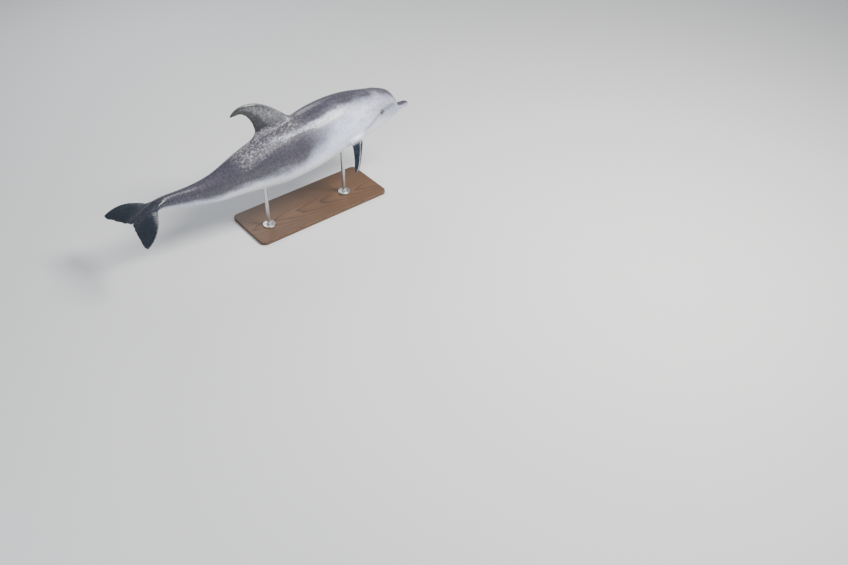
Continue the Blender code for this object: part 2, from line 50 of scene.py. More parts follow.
# Edges are (along, out) from root to tip, and thickness is (share of the span, thickness). A fin grows
# from the rings start to end and the columns within half of its centre, which squeeze draws together.
fins = {
    "dorsal": {
        "lead": (
            (42.9, 10.25), (44.6, 12.0), (48.8, 16.0), (53.8, 18.75),
            (57.8, 19.45), (60.4, 18.95), (61.7, 18.0),
        ),
        "trail": (
            (57.0, 9.1), (55.7, 10.5), (56.1, 13.6), (57.6, 16.3),
            (59.3, 17.35), (60.6, 17.4), (61.4, 17.35),
        ),
        "thick": ((0, 2.7), (0.25, 1.95), (0.6, 1.35), (1, 0.45)),
        "sections": (0.03, 0.1, 0.2, 0.32, 0.45, 0.58, 0.7, 0.8, 0.89, 0.96, 1.0),
        "out": (0, 0, 1), "side": (0, 1, 0),
        "start": 41.4, "end": 57.8, "centre": 0, "half": 2,
        "squeeze": (0.33, 60, 0), "sides": (1,),
    },
    "flipper": {
        "lead": ((23.2, 8.4), (24.7, 10.4), (27.4, 13.2), (30.6, 15.9), (33.0, 17.5), (34.3, 17.9)),
        "trail": ((28.4, 8.3), (28.9, 9.8), (30.4, 12.2), (32.4, 14.7), (34.1, 16.5), (34.8, 17.5)),
        "thick": ((0, 2.3), (0.3, 1.6), (0.7, 0.95), (1, 0.4)),
        "sections": (0.06, 0.17, 0.3, 0.45, 0.6, 0.74, 0.86, 0.95, 1.0),
        "droop": 41,
        "start": 22.2, "end": 28.6, "centre": 135, "half": 2,
        "squeeze": (0.33, 40, 5), "sides": (1, -1),
    },
    "fluke": {
        "lead": ((93.1, 2.7), (94.7, 6.1), (97.0, 10.1), (99.6, 12.6), (102.0, 13.8), (103.5, 14.05)),
        "trail": (
            (100.9, 2.3), (102.0, 3.9), (102.8, 6.6), (103.5, 9.8), (104.1, 12.4), (104.1, 13.5),
        ),
        "thick": ((0, 1.15), (0.3, 0.95), (0.7, 0.65), (1, 0.35)),
        "sections": (0.04, 0.14, 0.27, 0.41, 0.55, 0.69, 0.82, 0.93, 1.0),
        "droop": 0,
        "start": 92.0, "end": 99.5, "centre": 90, "half": 4,
        "squeeze": (-0.43, 40, 0), "sides": (1, -1),
    },
}
finTip = {"start": 0.88, "narrowing": 0.8, "thinnest": 0.09}
body = {
    "length": 2.60,
    "columns": 48,
    "back": (
        (0, -1.5), (3.6, -1.25), (4.8, -0.8), (5.5, 0.9), (6.6, 3.0), (8.4, 4.7), (12, 6.1), (16, 6.9),
        (25, 8.4), (38, 9.6), (50, 9.1), (62, 7.2), (72, 5.0), (82, 3.1), (90, 2.0), (95, 1.05),
        (101, 0.35),
    ),
    "belly": (
        (0, -3.75), (3, -4.1), (6, -4.6), (10.5, -5.7), (20, -7.9), (36, -9.4), (50, -8.8),
        (64, -6.5), (74, -4.3), (82, -2.95), (90, -1.9), (95, -1.0), (101, -0.35),
    ),
    "mouth": (
        (0, -2.65), (3, -2.8), (6.5, -2.75), (9.5, -2.2), (12.2, -1.45), (16, -0.9), (26, -0.3), (40, 0),
    ),
    "breadth": (
        (0, 1.15), (2.4, 1.45), (4.7, 2.0), (6.2, 3.05), (8.5, 4.2), (13, 5.35), (20, 6.6), (28, 7.6),
        (37, 8.1), (50, 7.0), (64, 4.5), (74, 2.9), (82, 1.95), (88, 1.5), (92, 1.75), (96, 2.0),
        (101, 1.4),
    ),
    "roundness": ((0, 2.3), (6, 2.1), (30, 2.05), (60, 1.95), (76, 1.7), (88, 1.75), (95, 2.1)),
    "bluntNose": 1.3, "bluntTail": 0.9, "tailEnd": 100.2,
    # stretches of rings: (where it ends, how many rings it has)
    "rings": (
        (0.35, 1), (2.7, 4), (7.0, 11), (12.0, 8), (16.0, 8), (22.2, 6), (28.6, 7), (41.4, 6),
        (57.8, 11), (92.0, 12), (99.5, 8),
    ),
    # columns drawn together for small forms: (from, to, margin, angle, amount, reach)
    "drawn": (
        (0, 17, 5, 90, 0.5, 34), (0, 17, 5, -90, 0.5, 34), (11.5, 15, 4, 0, 0.4, 30),
        (62, 74, 6, 180, 0.45, 40),
    ),
    "finMargin": 7.0,
}
pose = {
    "pitch": (
        (0, -1), (20, -1), (35, 12), (47, 6.5), (57, 4), (67, 8), (77, -3), (88, -9), (94, 13),
        (100, 28),
    ),
    "twist": 4.75, "twistStart": 60, "roll": -11.9,
    "held": 45, "place": Vector((-0.12, -0.005, 0.62)), "step": 0.25,
}
percent = body["length"] / 100      # metres
mm = 0.1 / body["length"]           # one millimetre, in percent of the body length
for name in ("flipper", "fluke"):
    lean = math.radians(fins[name]["droop"])
    fins[name]["out"] = (0, math.cos(lean), -math.sin(lean))
    fins[name]["side"] = (0, -math.sin(lean), -math.cos(lean))


def smoothCurve(knots):
    place, value = np.array(knots, float).T
    slope = np.diff(value) / np.diff(place)
    lean = np.concatenate([slope[:1], np.zeros(len(place) - 2), slope[-1:]])
    for i in range(1, len(place) - 1):
        before, after = slope[i - 1], slope[i]
        if before * after > 0:
            lean[i] = 2 * before * after / (before + after)

    def curve(at):
        at = np.clip(at, place[0], place[-1])
        i = np.clip(np.searchsorted(place, at, side="right") - 1, 0, len(place) - 2)
        span = place[i + 1] - place[i]
        t = (at - place[i]) / span
        ends = value[i] * (1 + 2 * t) * (1 - t) ** 2 + value[i + 1] * t * t * (3 - 2 * t)
        return ends + span * (lean[i] * t * (1 - t) ** 2 - lean[i + 1] * t * t * (1 - t))

    return curve


def edgeCurve(points):
    points = np.array(points, float)
    run = np.concatenate([[0], np.cumsum(np.linalg.norm(np.diff(points, axis=0), axis=1))])
    run /= run[-1]
    along = smoothCurve(np.stack([run, points[:, 0]], 1))
    out = smoothCurve(np.stack([run, points[:, 1]], 1))
    return lambda u: np.array((along(u), out(u)))


line = {key: smoothCurve(body[key]) for key in ("back", "belly", "mouth", "breadth", "roundness")}


def smoothStep(value, low, high):
    t = np.clip((value - low) / (high - low), 0, 1)
    return t * t * (3 - 2 * t)


def bell(value, width):
    return np.exp(-((value / width) ** 2))


def endRounding(along):
    nose = np.clip(along / body["bluntNose"], 0, 1)
    tail = np.clip((body["tailEnd"] - along) / body["bluntTail"], 0, 1)
    return np.sqrt(1 - (1 - nose) ** 2) * np.sqrt(1 - (1 - tail) ** 2)


# the straight skin: angle 0 is on the back, a quarter turn is on the left side
def skinPoint(along, angle):
    along, angle = np.broadcast_arrays(np.asarray(along, float), np.asarray(angle, float))
    power = 2 / line["roundness"](along)
    sine, cosine = np.sin(angle), np.cos(angle)
    across = np.copysign(np.abs(sine) ** power, sine)
    upward = np.copysign(np.abs(cosine) ** power, cosine)
    middle = line["mouth"](along)
    reach = np.where(upward > 0, line["back"](along), line["belly"](along)) - middle
    rounding = endRounding(along)
    return np.stack([
        along, line["breadth"](along) * across * rounding, middle + reach * np.abs(upward) * rounding,
    ], -1)


# the angle of skin points, and how far out they are: 1 on the body, more on a fin
def skinAngle(points):
    along = np.clip(points[:, 0], 0.02, body["tailEnd"] - 0.02)
    power = line["roundness"](along)
    rounding = endRounding(along)
    up = points[:, 2] - line["mouth"](along)
    reach = np.abs(np.where(up > 0, line["back"](along), line["belly"](along)) - line["mouth"](along))
    across = (np.abs(points[:, 1]) / (line["breadth"](along) * rounding)) ** (power / 2)
    upward = (np.abs(up) / (reach * rounding)) ** (power / 2)
    out = (across ** 2 + upward ** 2) ** (1 / power)
    return np.arctan2(np.copysign(across, points[:, 1]), np.copysign(upward, up)), out


# 1 from start to end, fading to 0 over the margin on either side
def nearness(along, start, end, margin):
    beyond = max(start - along, along - end, 0) / margin
    return max(0.0, 1 - beyond * beyond) ** 2


def columnAngle(along, column):
    angle = 2 * math.pi * column / body["columns"]
    turn = (angle + math.pi) % (2 * math.pi) - math.pi

    def squeeze(near, centre, amount, reach, shift=0.0):
        off = (turn - math.radians(centre) + math.pi) % (2 * math.pi) - math.pi
        fade = math.exp(-((off / math.radians(reach)) ** 2))
        return near * fade * (amount * off + math.radians(shift))

    for fin in fins.values():
        amount, reach, shift = fin["squeeze"]
        for side in fin["sides"]:
            near = nearness(along, fin["start"], fin["end"], body["finMargin"])
            angle -= squeeze(near, side * fin["centre"], amount, reach, side * shift)
    for start, end, margin, centre, amount, reach in body["drawn"]:
        angle -= squeeze(nearness(along, start, end, margin), centre, amount, reach)
    return angle


def halfThickness(share):  # of a streamlined section, from its leading to its trailing edge
    root = 0.2969 * math.sqrt(share)
    return 5 * (root - 0.1260 * share - 0.3516 * share**2 + 0.2843 * share**3 - 0.1036 * share**4)


class Cage:  # the coarse faces of the whole skin, with the place that the smooth surface has to reach
    def __init__(self):
        self.bm = bmesh.new()
        # from a fin's leading to its trailing edge, and from root to tip of dorsal, flipper and fluke
        self.share = self.bm.verts.layers.float.new("share")
        self.spans = self.bm.verts.layers.float_vector.new("spans")
        self.targets = {}
        self.rims = []    # where the fins grow from the body

    def vertex(self, point, share=0.5, spans=(0, 0, 0)):
        made = self.bm.verts.new(point)
        made[self.share], made[self.spans] = share, spans
        self.targets[made] = Vector(point)
        return made

    def body(self, rings, openings):
        columns = body["columns"]
        self.rings = rings
        self.grid = [
            [self.vertex(skinPoint(s, columnAngle(s, j))) for j in range(columns)] for s in rings
        ]
        for i in range(len(rings) - 1):
            for j in range(columns):
                if (i, j) not in openings:
                    one, two = self.grid[i], self.grid[i + 1]
                    after = (j + 1) % columns
                    self.bm.faces.new((one[j], one[after], two[after], two[j]))

    def endCap(self, rim, alongAt):  # a square patch, whose square shells are drawn out to rings
        half = body["columns"] // 8
        spots = {}
        for a in range(-half, half + 1):
            for b in range(-half, half + 1):
                shell = max(abs(a), abs(b))
                if b == shell and a >= 0:
                    step = a
                elif a == shell:
                    step = 2 * shell - b
                elif b == -shell:
                    step = 4 * shell - a
                elif a == -shell:
                    step = 6 * shell + b
                else:
                    step = 8 * shell + a
                if shell == half:
                    spots[a, b] = rim[step % body["columns"]]
                else:
                    angle = 2 * math.pi * step / max(8 * shell, 1)
                    spots[a, b] = self.vertex(skinPoint(alongAt(shell / half), angle))
        for a in range(-half, half):
            for b in range(-half, half):
                corners = ((a, b), (a + 1, b), (a + 1, b + 1), (a, b + 1))
                self.bm.faces.new([spots[corner] for corner in corners])

    def fin(self, name, side):
        fin = fins[name]
        first, last = self.rings.index(fin["start"]), self.rings.index(fin["end"])
        half, columns = fin["half"], body["columns"]
        middle = round(fin["centre"] * columns / 360)

        def rim(i, off):
            return self.grid[i][side * (middle + off) % columns]

        one = [rim(first, k) for k in range(1, half)] + [rim(i, half) for i in range(first, last + 1)]
        one += [rim(last, k) for k in range(half - 1, 0, -1)]
        other = [rim(last, -k) for k in range(1, half)]
        other += [rim(i, -half) for i in range(last, first - 1, -1)]
        other += [rim(first, -k) for k in range(half - 1, 0, -1)]
        ring = [rim(first, 0)] + one + [rim(last, 0)] + other
        self.rims += [self.targets[vertex] for vertex in ring]
        count = len(one)
        shares = [(1 - math.cos(math.pi * (k + 0.5) / count)) / 2 for k in range(count)]
        for vertex, share in zip(ring, [0] + shares + [1] + shares[::-1], strict=True):
            vertex[self.share] = share
        lead, trail = edgeCurve(fin["lead"]), edgeCurve(fin["trail"])
        thick = smoothCurve(fin["thick"])
        which = list(fins).index(name)
        for u in fin["sections"]:
            start, end = lead(u), trail(u)
            after = []
            loop = [(0, 0)] + [(x, 1) for x in shares] + [(1, 0)] + [(x, -1) for x in shares[::-1]]
            tip = max(u - finTip["start"], 0) / (1 - finTip["start"])
            narrow = math.sqrt(1 - finTip["narrowing"] * tip * tip)
            for share, face in loop:
                along, out = start + (end - start) * (0.5 + (share - 0.5) * narrow)
                off = face * max(float(thick(u)) * halfThickness(share), finTip["thinnest"])
                p = Vector((along, 0, 0)) + Vector(fin["out"]) * out + Vector(fin["side"]) * off
                spans = [0, 0, 0]
                spans[which] = u
                after.append(self.vertex((p.x, p.y * side, p.z), share, spans))
            for k in range(len(ring)):
                n = (k + 1) % len(ring)
                self.bm.faces.new((ring[k], ring[n], after[n], after[k]))
            ring = after
        one, other = ring[1:count + 1], ring[:count + 1:-1]
        self.bm.faces.new((ring[0], one[0], other[0]))
        self.bm.faces.new((ring[count + 1], other[-1], one[-1]))
        for k in range(count - 1):
            self.bm.faces.new((one[k], one[k + 1], other[k + 1], other[k]))

    def settle(self, rounds=4):  # moves the corners until the smoothed surface meets their targets
        used = [v for v in self.bm.verts if v.link_faces]
        for _ in range(rounds):
            misses = []
            for vertex in used:
                n = len(vertex.link_edges)
                faces = sum((f.calc_center_median() for f in vertex.link_faces), Vector()) / n
                ends = (end.co for edge in vertex.link_edges for end in edge.verts)
                edges = sum(ends, Vector()) / (2 * n)
                once = (faces + 2 * edges + (n - 3) * vertex.co) / n
                limit = vertex.co + (once - vertex.co) * 4 / 3
                misses.append(self.targets[vertex] - limit)
            for vertex, miss in zip(used, misses, strict=True):
                vertex.co += miss
        loose = [v for v in self.bm.verts if not v.link_faces]
        bmesh.ops.delete(self.bm, geom=loose, context="VERTS")


def ringPlaces():
    places, at = [body["rings"][0][0]], body["rings"][0][0]
    for end, count in body["rings"][1:]:
        places += [at + (end - at) * (k + 1) / count for k in range(count - 1)] + [end]
        at = end
    return places


def straightSkin():
    cage = Cage()
    rings = ringPlaces()
    openings = set()
    for fin in fins.values():
        first, last = rings.index(fin["start"]), rings.index(fin["end"])
        middle = round(fin["centre"] * body["columns"] / 360)
        for side in fin["sides"]:
            for k in range(-fin["half"], fin["half"]):
                column = (side * (middle + k) - (side < 0)) % body["columns"]
                openings |= {(i, column) for i in range(first, last)}
    cage.body(rings, openings)
    nose, tail = endRounding(rings[0]), endRounding(rings[-1])
    cage.endCap(cage.grid[0], lambda q: body["bluntNose"] * (1 - math.sqrt(1 - (q * nose) ** 2)))
    cage.endCap(
        cage.grid[-1],
        lambda q: body["tailEnd"] - body["bluntTail"] * (1 - math.sqrt(1 - (q * tail) ** 2)),
    )
    for name, fin in fins.items():
        for side in fin["sides"]:
            cage.fin(name, side)
    cage.settle()
    bmesh.ops.recalc_face_normals(cage.bm, faces=cage.bm.faces)
    holder = addObject("coarse", meshFrom(cage.bm, "coarse"))
    smooth = holder.modifiers.new("smooth", "SUBSURF")
    smooth.levels = smooth.render_levels = 2
    depsgraph = bpy.context.evaluated_depsgraph_get()
    fine = bpy.data.meshes.new_from_object(holder.evaluated_get(depsgraph))
    bpy.data.objects.remove(holder)
    return fine, np.array(cage.rims)


# rounds off the hollow where each fin grows from the body
def softenRoots(mesh, points, rims, reach=1.5, rounds=45, least=0.01):
    away = np.min([np.sum((points - rim) ** 2, axis=1) for rim in rims], axis=0)
    weight = np.exp(-away / reach**2)
    ends = np.empty(len(mesh.edges) * 2, np.int32)
    mesh.edges.foreach_get("vertices", ends)
    ends = ends.reshape(-1, 2)
    one, two = ends[(weight[ends] > least).any(1)].T
    count = len(points)
    links = np.bincount(one, minlength=count) + np.bincount(two, minlength=count)
    moving = (weight > least) & (links > 2)
    for _ in range(rounds):
        around = np.stack([
            np.bincount(one, points[two, k], count) + np.bincount(two, points[one, k], count)
            for k in range(3)
        ], 1)
        step = around[moving] / links[moving, None] - points[moving]
        points[moving] += step / 2 * weight[moving, None]
    return points


def readValues(data, field, width):
    values = np.empty(len(data) * width, np.float32)
    data.foreach_get(field, values)
    return values.reshape(-1, width)


def readPoints(mesh):
    return readValues(mesh.vertices, "co", 3).astype(float)


def writePoints(mesh, points):
    mesh.vertices.foreach_set("co", points.astype(np.float32).ravel())
    mesh.update()


def readNormals(mesh):
    return readValues(mesh.vertex_normals, "vector", 3).astype(float)


def writeAttribute(mesh, name, values):
    made = mesh.attributes.new(name, "FLOAT_VECTOR", "POINT")
    made.data.foreach_set("vector", np.asarray(values, np.float32).ravel())


# makes a mesh of what a bmesh holds, and lets that go
def meshFrom(bm, name):
    mesh = bpy.data.meshes.new(name)
    bm.to_mesh(mesh)
    bm.free()
    return mesh


def addObject(name, data):
    made = bpy.data.objects.new(name, data)
    bpy.context.scene.collection.objects.link(made)
    return made


# small forms of the head; places in percent along and degrees round, sizes in millimetres
head = {
    # (along, turn, reach, share drawn together)
    "gather": ((14.0, 84, 62, 0.55), (14.0, -84, 62, 0.55), (13.3, 3, 46, 0.3)),
    # (along, turn, reach)
    "refine": (
        (14.0, 84, 42), (14.0, 84, 29), (14.0, -84, 42), (14.0, -84, 29), (13.3, 3, 38), (13.3, 3, 30),
        (16.2, 85, 16), (16.2, 85, 8), (16.2, -85, 16), (16.2, -85, 8),
    ),
    "mouthEnd": 12.15, "mouthDeep": 3.4, "mouthWide": 1.7,
    "melonTop": 4.95, "melonSide": 6.3, "melonDeep": 2.8, "melonWide": 3.4,
    "eyeAlong": 14.0, "eyeTurn": 84, "eyeBall": 15.0, "eyeSunk": 10.5, "eyeReach": 70,
    "eyeLong": 13.2, "eyeHigh": 7.4, "eyeTilt": -7, "lidThick": 1.0, "socketDeep": 3.2,
    "blowAlong": 13.3, "blowTurn": 3, "blowRound": 20.0, "blowHalf": 62,
    "blowDeep": 5.5, "blowWide": 1.8,
    "earAlong": 16.2, "earTurn": 85, "earDeep": 1.6, "earWide": 2.4,
    # ridges and hollows beside a line or round a place: (how far from it, width, height)
    "lips": ((5.5, 3.2, 0.9), (-6, 3.6, 0.72)),
    "corner": ((9, 5, 1.4),), "cornerPit": ((0, 4.5, -0.8),),
    "melonFoot": ((10, 7, 1.1),),
    "blowLips": ((5.2, 2.6, 1.3),), "blowMound": ((0, 24, 1.2),),
    "lids": ((1.7, 1.3, 0.8), (6.3, 1.7, -1.1), (9.5, 2.4, 0.6)),
    "underLid": ((13.5, 2.2, -0.5),), "eyeMound": ((0, 30, 2.6),),
}
# small forms of the body, in the same measures; ridges round it are (turn, width in degrees, height)
flesh = {
    # folds: (along, lean, from turn, to turn, deep, wide, fade, waviness)
    "folds": (
        (13.6, 1.6, 112, 172, 1.2, 5, 16, 0.12), (15.6, 1.3, 106, 176, 1.5, 6, 16, 0.12),
        (17.9, 0.9, 98, 178, 1.3, 7, 16, 0.12), (19.9, -0.6, 40, 120, 0.9, 9, 16, 0.12),
        (21.6, -0.5, 60, 112, 0.8, 8, 16, 0.12), (29.6, 1.6, 112, 140, 1.6, 6, 8, 0),
        (30.8, 2.2, 116, 146, 1.6, 6, 8, 0), (21.2, -1.2, 122, 150, 1.6, 6, 8, 0),
    ),
    # navel, slit and vent: (from, to, deep, wide)
    "bellyMarks": ((49.3, 49.9, 1.6, 5), (66.2, 69.6, 3.2, 3.4), (72.4, 72.9, 2.4, 4)),
    "tailStock": ((0, 9, 2.4), (180, 9, 2.0), (82, 17, -2.2)),
    "loins": ((46, 20, 1.6), (96, 14, -1.8)),
    "unevenness": 0.7,
}


def spot(along, turn):
    return skinPoint(along, math.radians(turn))


# splits the faces round the eyes and the blowhole, where the forms are finer than elsewhere
def refineHead(mesh):
    bm = bmesh.new()
    bm.from_mesh(mesh)
    for place, turn, reach in head["refine"]:
        centre = Vector(spot(place, turn))
        middles = ((face, face.calc_center_median()) for face in bm.faces)
        close = (face for face, middle in middles if (middle - centre).length < reach * mm)
        edges = {edge for face in close for edge in face.edges}
        bmesh.ops.subdivide_edges(bm, edges=list(edges), cuts=1, use_grid_fill=True)
    bm.to_mesh(mesh)
    bm.free()


# slides the skin's points along its own surface, closer together round the eyes and the blowhole
def gatherPoints(points, onBody):
    angle, _ = skinAngle(points)
    along = points[:, 0]
    for place, turn, reach, amount in head["gather"]:
        angle0 = math.radians(turn)
        per = np.linalg.norm(spot(place, turn + 1) - spot(place, turn - 1)) / math.radians(2)
        u = (along - place) / mm
        v = (np.mod(angle - angle0 + math.pi, 2 * math.pi) - math.pi) * per / mm
        r = np.hypot(u, v)
        keep = 1 - amount * np.clip(1 - (r / reach) ** 2, 0, 1) ** 2
        moved = onBody & (r < reach)
        newAlong = place + u * keep * mm
        newAngle = angle0 + v * keep * mm / per
        points[moved] += (skinPoint(newAlong, newAngle) - skinPoint(along, angle))[moved]
        along = np.where(moved, newAlong, along)
        angle = np.where(moved, newAngle, angle)
    return points


# how far points are from the rim of the eye's opening (inside is negative) and from its middle, how
# high they are above it, and the ways back and up along the skin there
def eyeDistances(points, side, soft=0.35, far=1e3):
    here = spot(head["eyeAlong"], side * head["eyeTurn"])
    back = spot(head["eyeAlong"] + 0.2, side * head["eyeTurn"]) - here
    above = spot(head["eyeAlong"], side * (head["eyeTurn"] - 1)) - here
    back, above = back / np.linalg.norm(back), above / np.linalg.norm(above)
    above -= back * back.dot(above)
    off = (points - here) / mm
    tilt = math.radians(head["eyeTilt"])
    u = off @ back * math.cos(tilt) + off @ above * math.sin(tilt)
    v = off @ above * math.cos(tilt) - off @ back * math.sin(tilt)
    long, high = head["eyeLong"], head["eyeHigh"]
    radius = (long**2 + high**2) / (2 * high)
    upper, lower = np.hypot(u, v + radius - high) - radius, np.hypot(u, v - radius + high) - radius
    rim = np.maximum(upper, lower) + soft * np.log1p(np.exp(-np.abs(upper - lower) / soft))
    onSide = points[:, 1] * side > 0
    return np.where(onSide, rim, far), np.where(onSide, np.hypot(u, v), far), v, back, above


# how far points are from the blowhole's crescent, and from its middle
def blowholeDistance(points, far=1e3):
    here = spot(head["blowAlong"], head["blowTurn"])
    u, v = (points[:, 0] - here[0]) / mm, (points[:, 1] - here[1]) / mm
    radius, half = head["blowRound"], math.radians(head["blowHalf"])
    angle = np.arctan2(v, u + radius)
    endAlong, endOut = radius * (1 - math.cos(half)), radius * math.sin(half)
    ends = [np.hypot(u + endAlong, v - way * endOut) for way in (1, -1)]
    arc = np.abs(np.hypot(u + radius, v) - radius)
    apart = np.where(np.abs(angle) < half, arc, np.minimum(*ends))
    onTop = points[:, 2] > 0
    return np.where(onTop, apart, far), np.where(onTop, np.hypot(u + radius / 2, v), far)


def earDistance(points, side):
    return np.linalg.norm(points - spot(head["earAlong"], side * head["earTurn"]), axis=1) / mm


# a furrow with low shoulders
def groove(distance, deep, wide, shoulder=0.25):
    shoulders = bell(np.abs(distance) - 2.6 * wide, 1.4 * wide)
    return deep * (shoulder * shoulders - bell(distance, wide))


def ridges(distance, rows):  # rows of (how far away, width, height)
    return sum(high * bell(distance - far, wide) for far, wide, high in rows)


# raises and sinks the skin by millimetres along its normals
def carveSkin(points, normals, onBody):
    along = points[:, 0]
    angle, _ = skinAngle(points)
    turn = np.abs(np.degrees(angle))
    high = np.zeros(len(points))

    # the mouth: a furrow between the lips, shallower towards its corner
    fromMouth = (points[:, 2] - line["mouth"](along)) / mm
    mouthEnd = head["mouthEnd"]
    lips = groove(fromMouth, head["mouthDeep"], head["mouthWide"], 0) + ridges(fromMouth, head["lips"])
    lips *= 1 - 0.35 * smoothStep(along, 6, 11)
    high += lips * (1 - smoothStep(along, mouthEnd - 0.7, mouthEnd))
    fromCorner = np.hypot((along - mouthEnd - 0.1) / mm, fromMouth)
    high += ridges(fromCorner, head["corner"]) * (along > mouthEnd - 0.3)
    high += ridges(fromCorner, head["cornerPit"])

    # the crease between beak and melon
    sideways = np.clip(turn / 80, 0, 1) ** 1.5
    fromCrease = (along - head["melonTop"] - (head["melonSide"] - head["melonTop"]) * sideways) / mm
    melon = groove(fromCrease, head["melonDeep"], head["melonWide"], 0)
    high += (melon + ridges(fromCrease, head["melonFoot"])) * (1 - smoothStep(turn, 66, 86))

    apart, r = blowholeDistance(points)
    blow = groove(apart, head["blowDeep"], head["blowWide"], 0)
    blow += ridges(apart, head["blowLips"]) + ridges(r, head["blowMound"])
    high += np.where(r < 90, blow, 0)

    for side in (1, -1):
        high += groove(earDistance(points, side), head["earDeep"], head["earWide"])

    for place, lean, start, end, deep, wide, fade, wavy in flesh["folds"]:
        fold = place + lean * (turn - start) / (end - start) + wavy * np.sin(turn / 9 + place)
        mask = smoothStep(turn, start - 4, start + fade) * (1 - smoothStep(turn, end - fade, end + 4))
        high += groove((along - fold) / mm, deep, wide) * mask

    for start, end, deep, wide in flesh["bellyMarks"]:
        beyond = np.maximum(np.maximum(start - along, along - end), 0) / mm
        high += groove(np.hypot(points[:, 1] / mm, beyond), deep, wide) * (turn > 120)

    # the tail stock has a crest above, a keel below and a shallow hollow down each side
    stock = smoothStep(along, 58, 68) * (1 - smoothStep(along, 84, 91))
    high += stock * ridges(turn, flesh["tailStock"])
    loins = smoothStep(along, 44, 56) * (1 - smoothStep(along, 66, 76))
    high += loins * ridges(turn, flesh["loins"])
    # soft unevenness of muscle and blubber
    waves = np.sin(along * 0.55 + 2 * np.sin(angle)) + np.sin(along * 0.31 - 3 * np.cos(angle * 2) + 1)
    high += flesh["unevenness"] * waves * smoothStep(along, 18, 30)

    return points + normals * (high * onBody * mm)[:, None]


trailingEdges = {
    # nicks: (share of the span, width, depth)
    "dorsal": ((0.36, 0.03, 0.13), (0.62, 0.022, 0.2), (0.73, 0.02, 0.08)),
    "fluke": ((0.47, 0.022, 0.2),), "flukesApart": 0.1,
    # slow waves of the flukes: (depth, waviness, shift between the sides)
    "waves": ((0.06, 19, 2), (0.03, 47, -1)),
    # the web between the flukes: (off the middle, how far it is drawn back, where the edge was)
    "web": (
        (0, 0.1, 100.2), (0.3, 0.6, 100.2), (0.7, 1.1, 100.1), (1.2, 1.4, 99.9), (1.6, 1.45, 99.8),
        (2.0, 1.2, 100.1), (2.4, 0.8, 100.9), (3.0, 0.4, 101.5), (4.4, 0, 102.1),
    ),
    "webStart": 98.0,
}


# nicks and slow waves in the trailing edges, and a narrow notch between the flukes
def notchFins(points, spans, share):
    edges = trailingEdges
    dorsal, _, fluke = spans.T
    side = np.sign(points[:, 1])
    nicks = ridges(dorsal, edges["dorsal"]) * (dorsal > 0)
    waves = sum(deep * np.sin(fluke * wavy + side * shift) for deep, wavy, shift in edges["waves"])
    waves += ridges(fluke - edges["flukesApart"] * side, edges["fluke"])
    waves *= smoothStep(fluke, 0.04, 0.2) * (1 - smoothStep(fluke, 0.75, 0.95))
    points[:, 0] -= smoothStep(share, 0.8, 1.0) * (nicks + waves)
    off = np.abs(points[:, 1])
    places, drawn, ends = np.array(edges["web"]).T
    web = smoothStep(points[:, 0], edges["webStart"], np.interp(off, places, ends))
    points[:, 0] += np.interp(off, places, drawn) * web
    return points


# lays the lids on the eyeballs, and sinks the skin behind them
def openEyes(points, normals, onBody, nudge=0.2):
    for side in (1, -1):
        rim, r, v, back, above = eyeDistances(points, side)
        close = (onBody == 1) & (r < head["eyeReach"])
        # points next to the rim slide onto it, so that the lids end in a clean line
        slide = 0
        for way in (back, above):
            change = eyeDistances(points + way * nudge * mm, side)[0] - rim
            slide = slide + (change / nudge)[:, None] * way
        pull = np.where(close, rim * bell(rim, 0.8), 0)
        points = points - slide * (pull * mm)[:, None]
        rim, r = eyeDistances(points, side)[:2]
        ball = np.sqrt(np.clip(head["eyeBall"]**2 - r**2, 4, None)) - head["eyeSunk"]
        lid = ball + head["lidThick"]
        away = smoothStep(rim, 0, 8)
        outside = lid * (1 - away) + ridges(r, head["eyeMound"]) * away
        outside += ridges(rim, head["lids"]) + ridges(rim, head["underLid"]) * (v < 4)
        inside = lid - (head["lidThick"] + head["socketDeep"]) * smoothStep(-rim, 0, 1.3)
        high = np.where(rim > 0, outside, inside)
        points = points + normals * (np.where(close, high, 0) * mm)[:, None]
    return points


def bentSpine():
    along = np.arange(0, 100 + pose["step"], pose["step"])
    pitch = np.radians(smoothCurve(pose["pitch"])(along))
    forward = np.stack([np.cos(pitch), np.zeros_like(pitch), np.sin(pitch)], 1)
    steps = (forward[1:] + forward[:-1]) / 2 * pose["step"] * percent
    places = -np.concatenate([np.zeros((1, 3)), np.cumsum(steps, axis=0)])
    places -= places[round(pose["held"] / pose["step"])]
    start = pose["twistStart"]
    twist = np.radians(pose["twist"]) * np.clip((along - start) / (100 - start), 0, 1)
    return along, places, forward, twist


spine = bentSpine()


# straight points in percent to posed points in metres
def posed(points):
    stations, places, forward, twist = spine
    at = np.clip(points[:, 0], 0, 100)
    ahead = np.stack([np.interp(at, stations, forward[:, k]) for k in range(3)], 1)
    ahead /= np.linalg.norm(ahead, axis=1)[:, None]
    base = np.stack([np.interp(at, stations, places[:, k]) for k in range(3)], 1)
    turn = np.interp(at, stations, twist)[:, None]
    side = np.array((0.0, 1.0, 0.0))
    upright = np.cross(ahead, side)
    left = side * np.cos(turn) + upright * np.sin(turn)
    up = upright * np.cos(turn) - side * np.sin(turn)
    offset = left * points[:, 1:2] + up * points[:, 2:3] - ahead * (points[:, 0] - at)[:, None]
    base += offset * percent
    roll = np.array(Matrix.Rotation(math.radians(pose["roll"]), 3, "X"))
    return base @ roll.T + np.array(pose["place"])


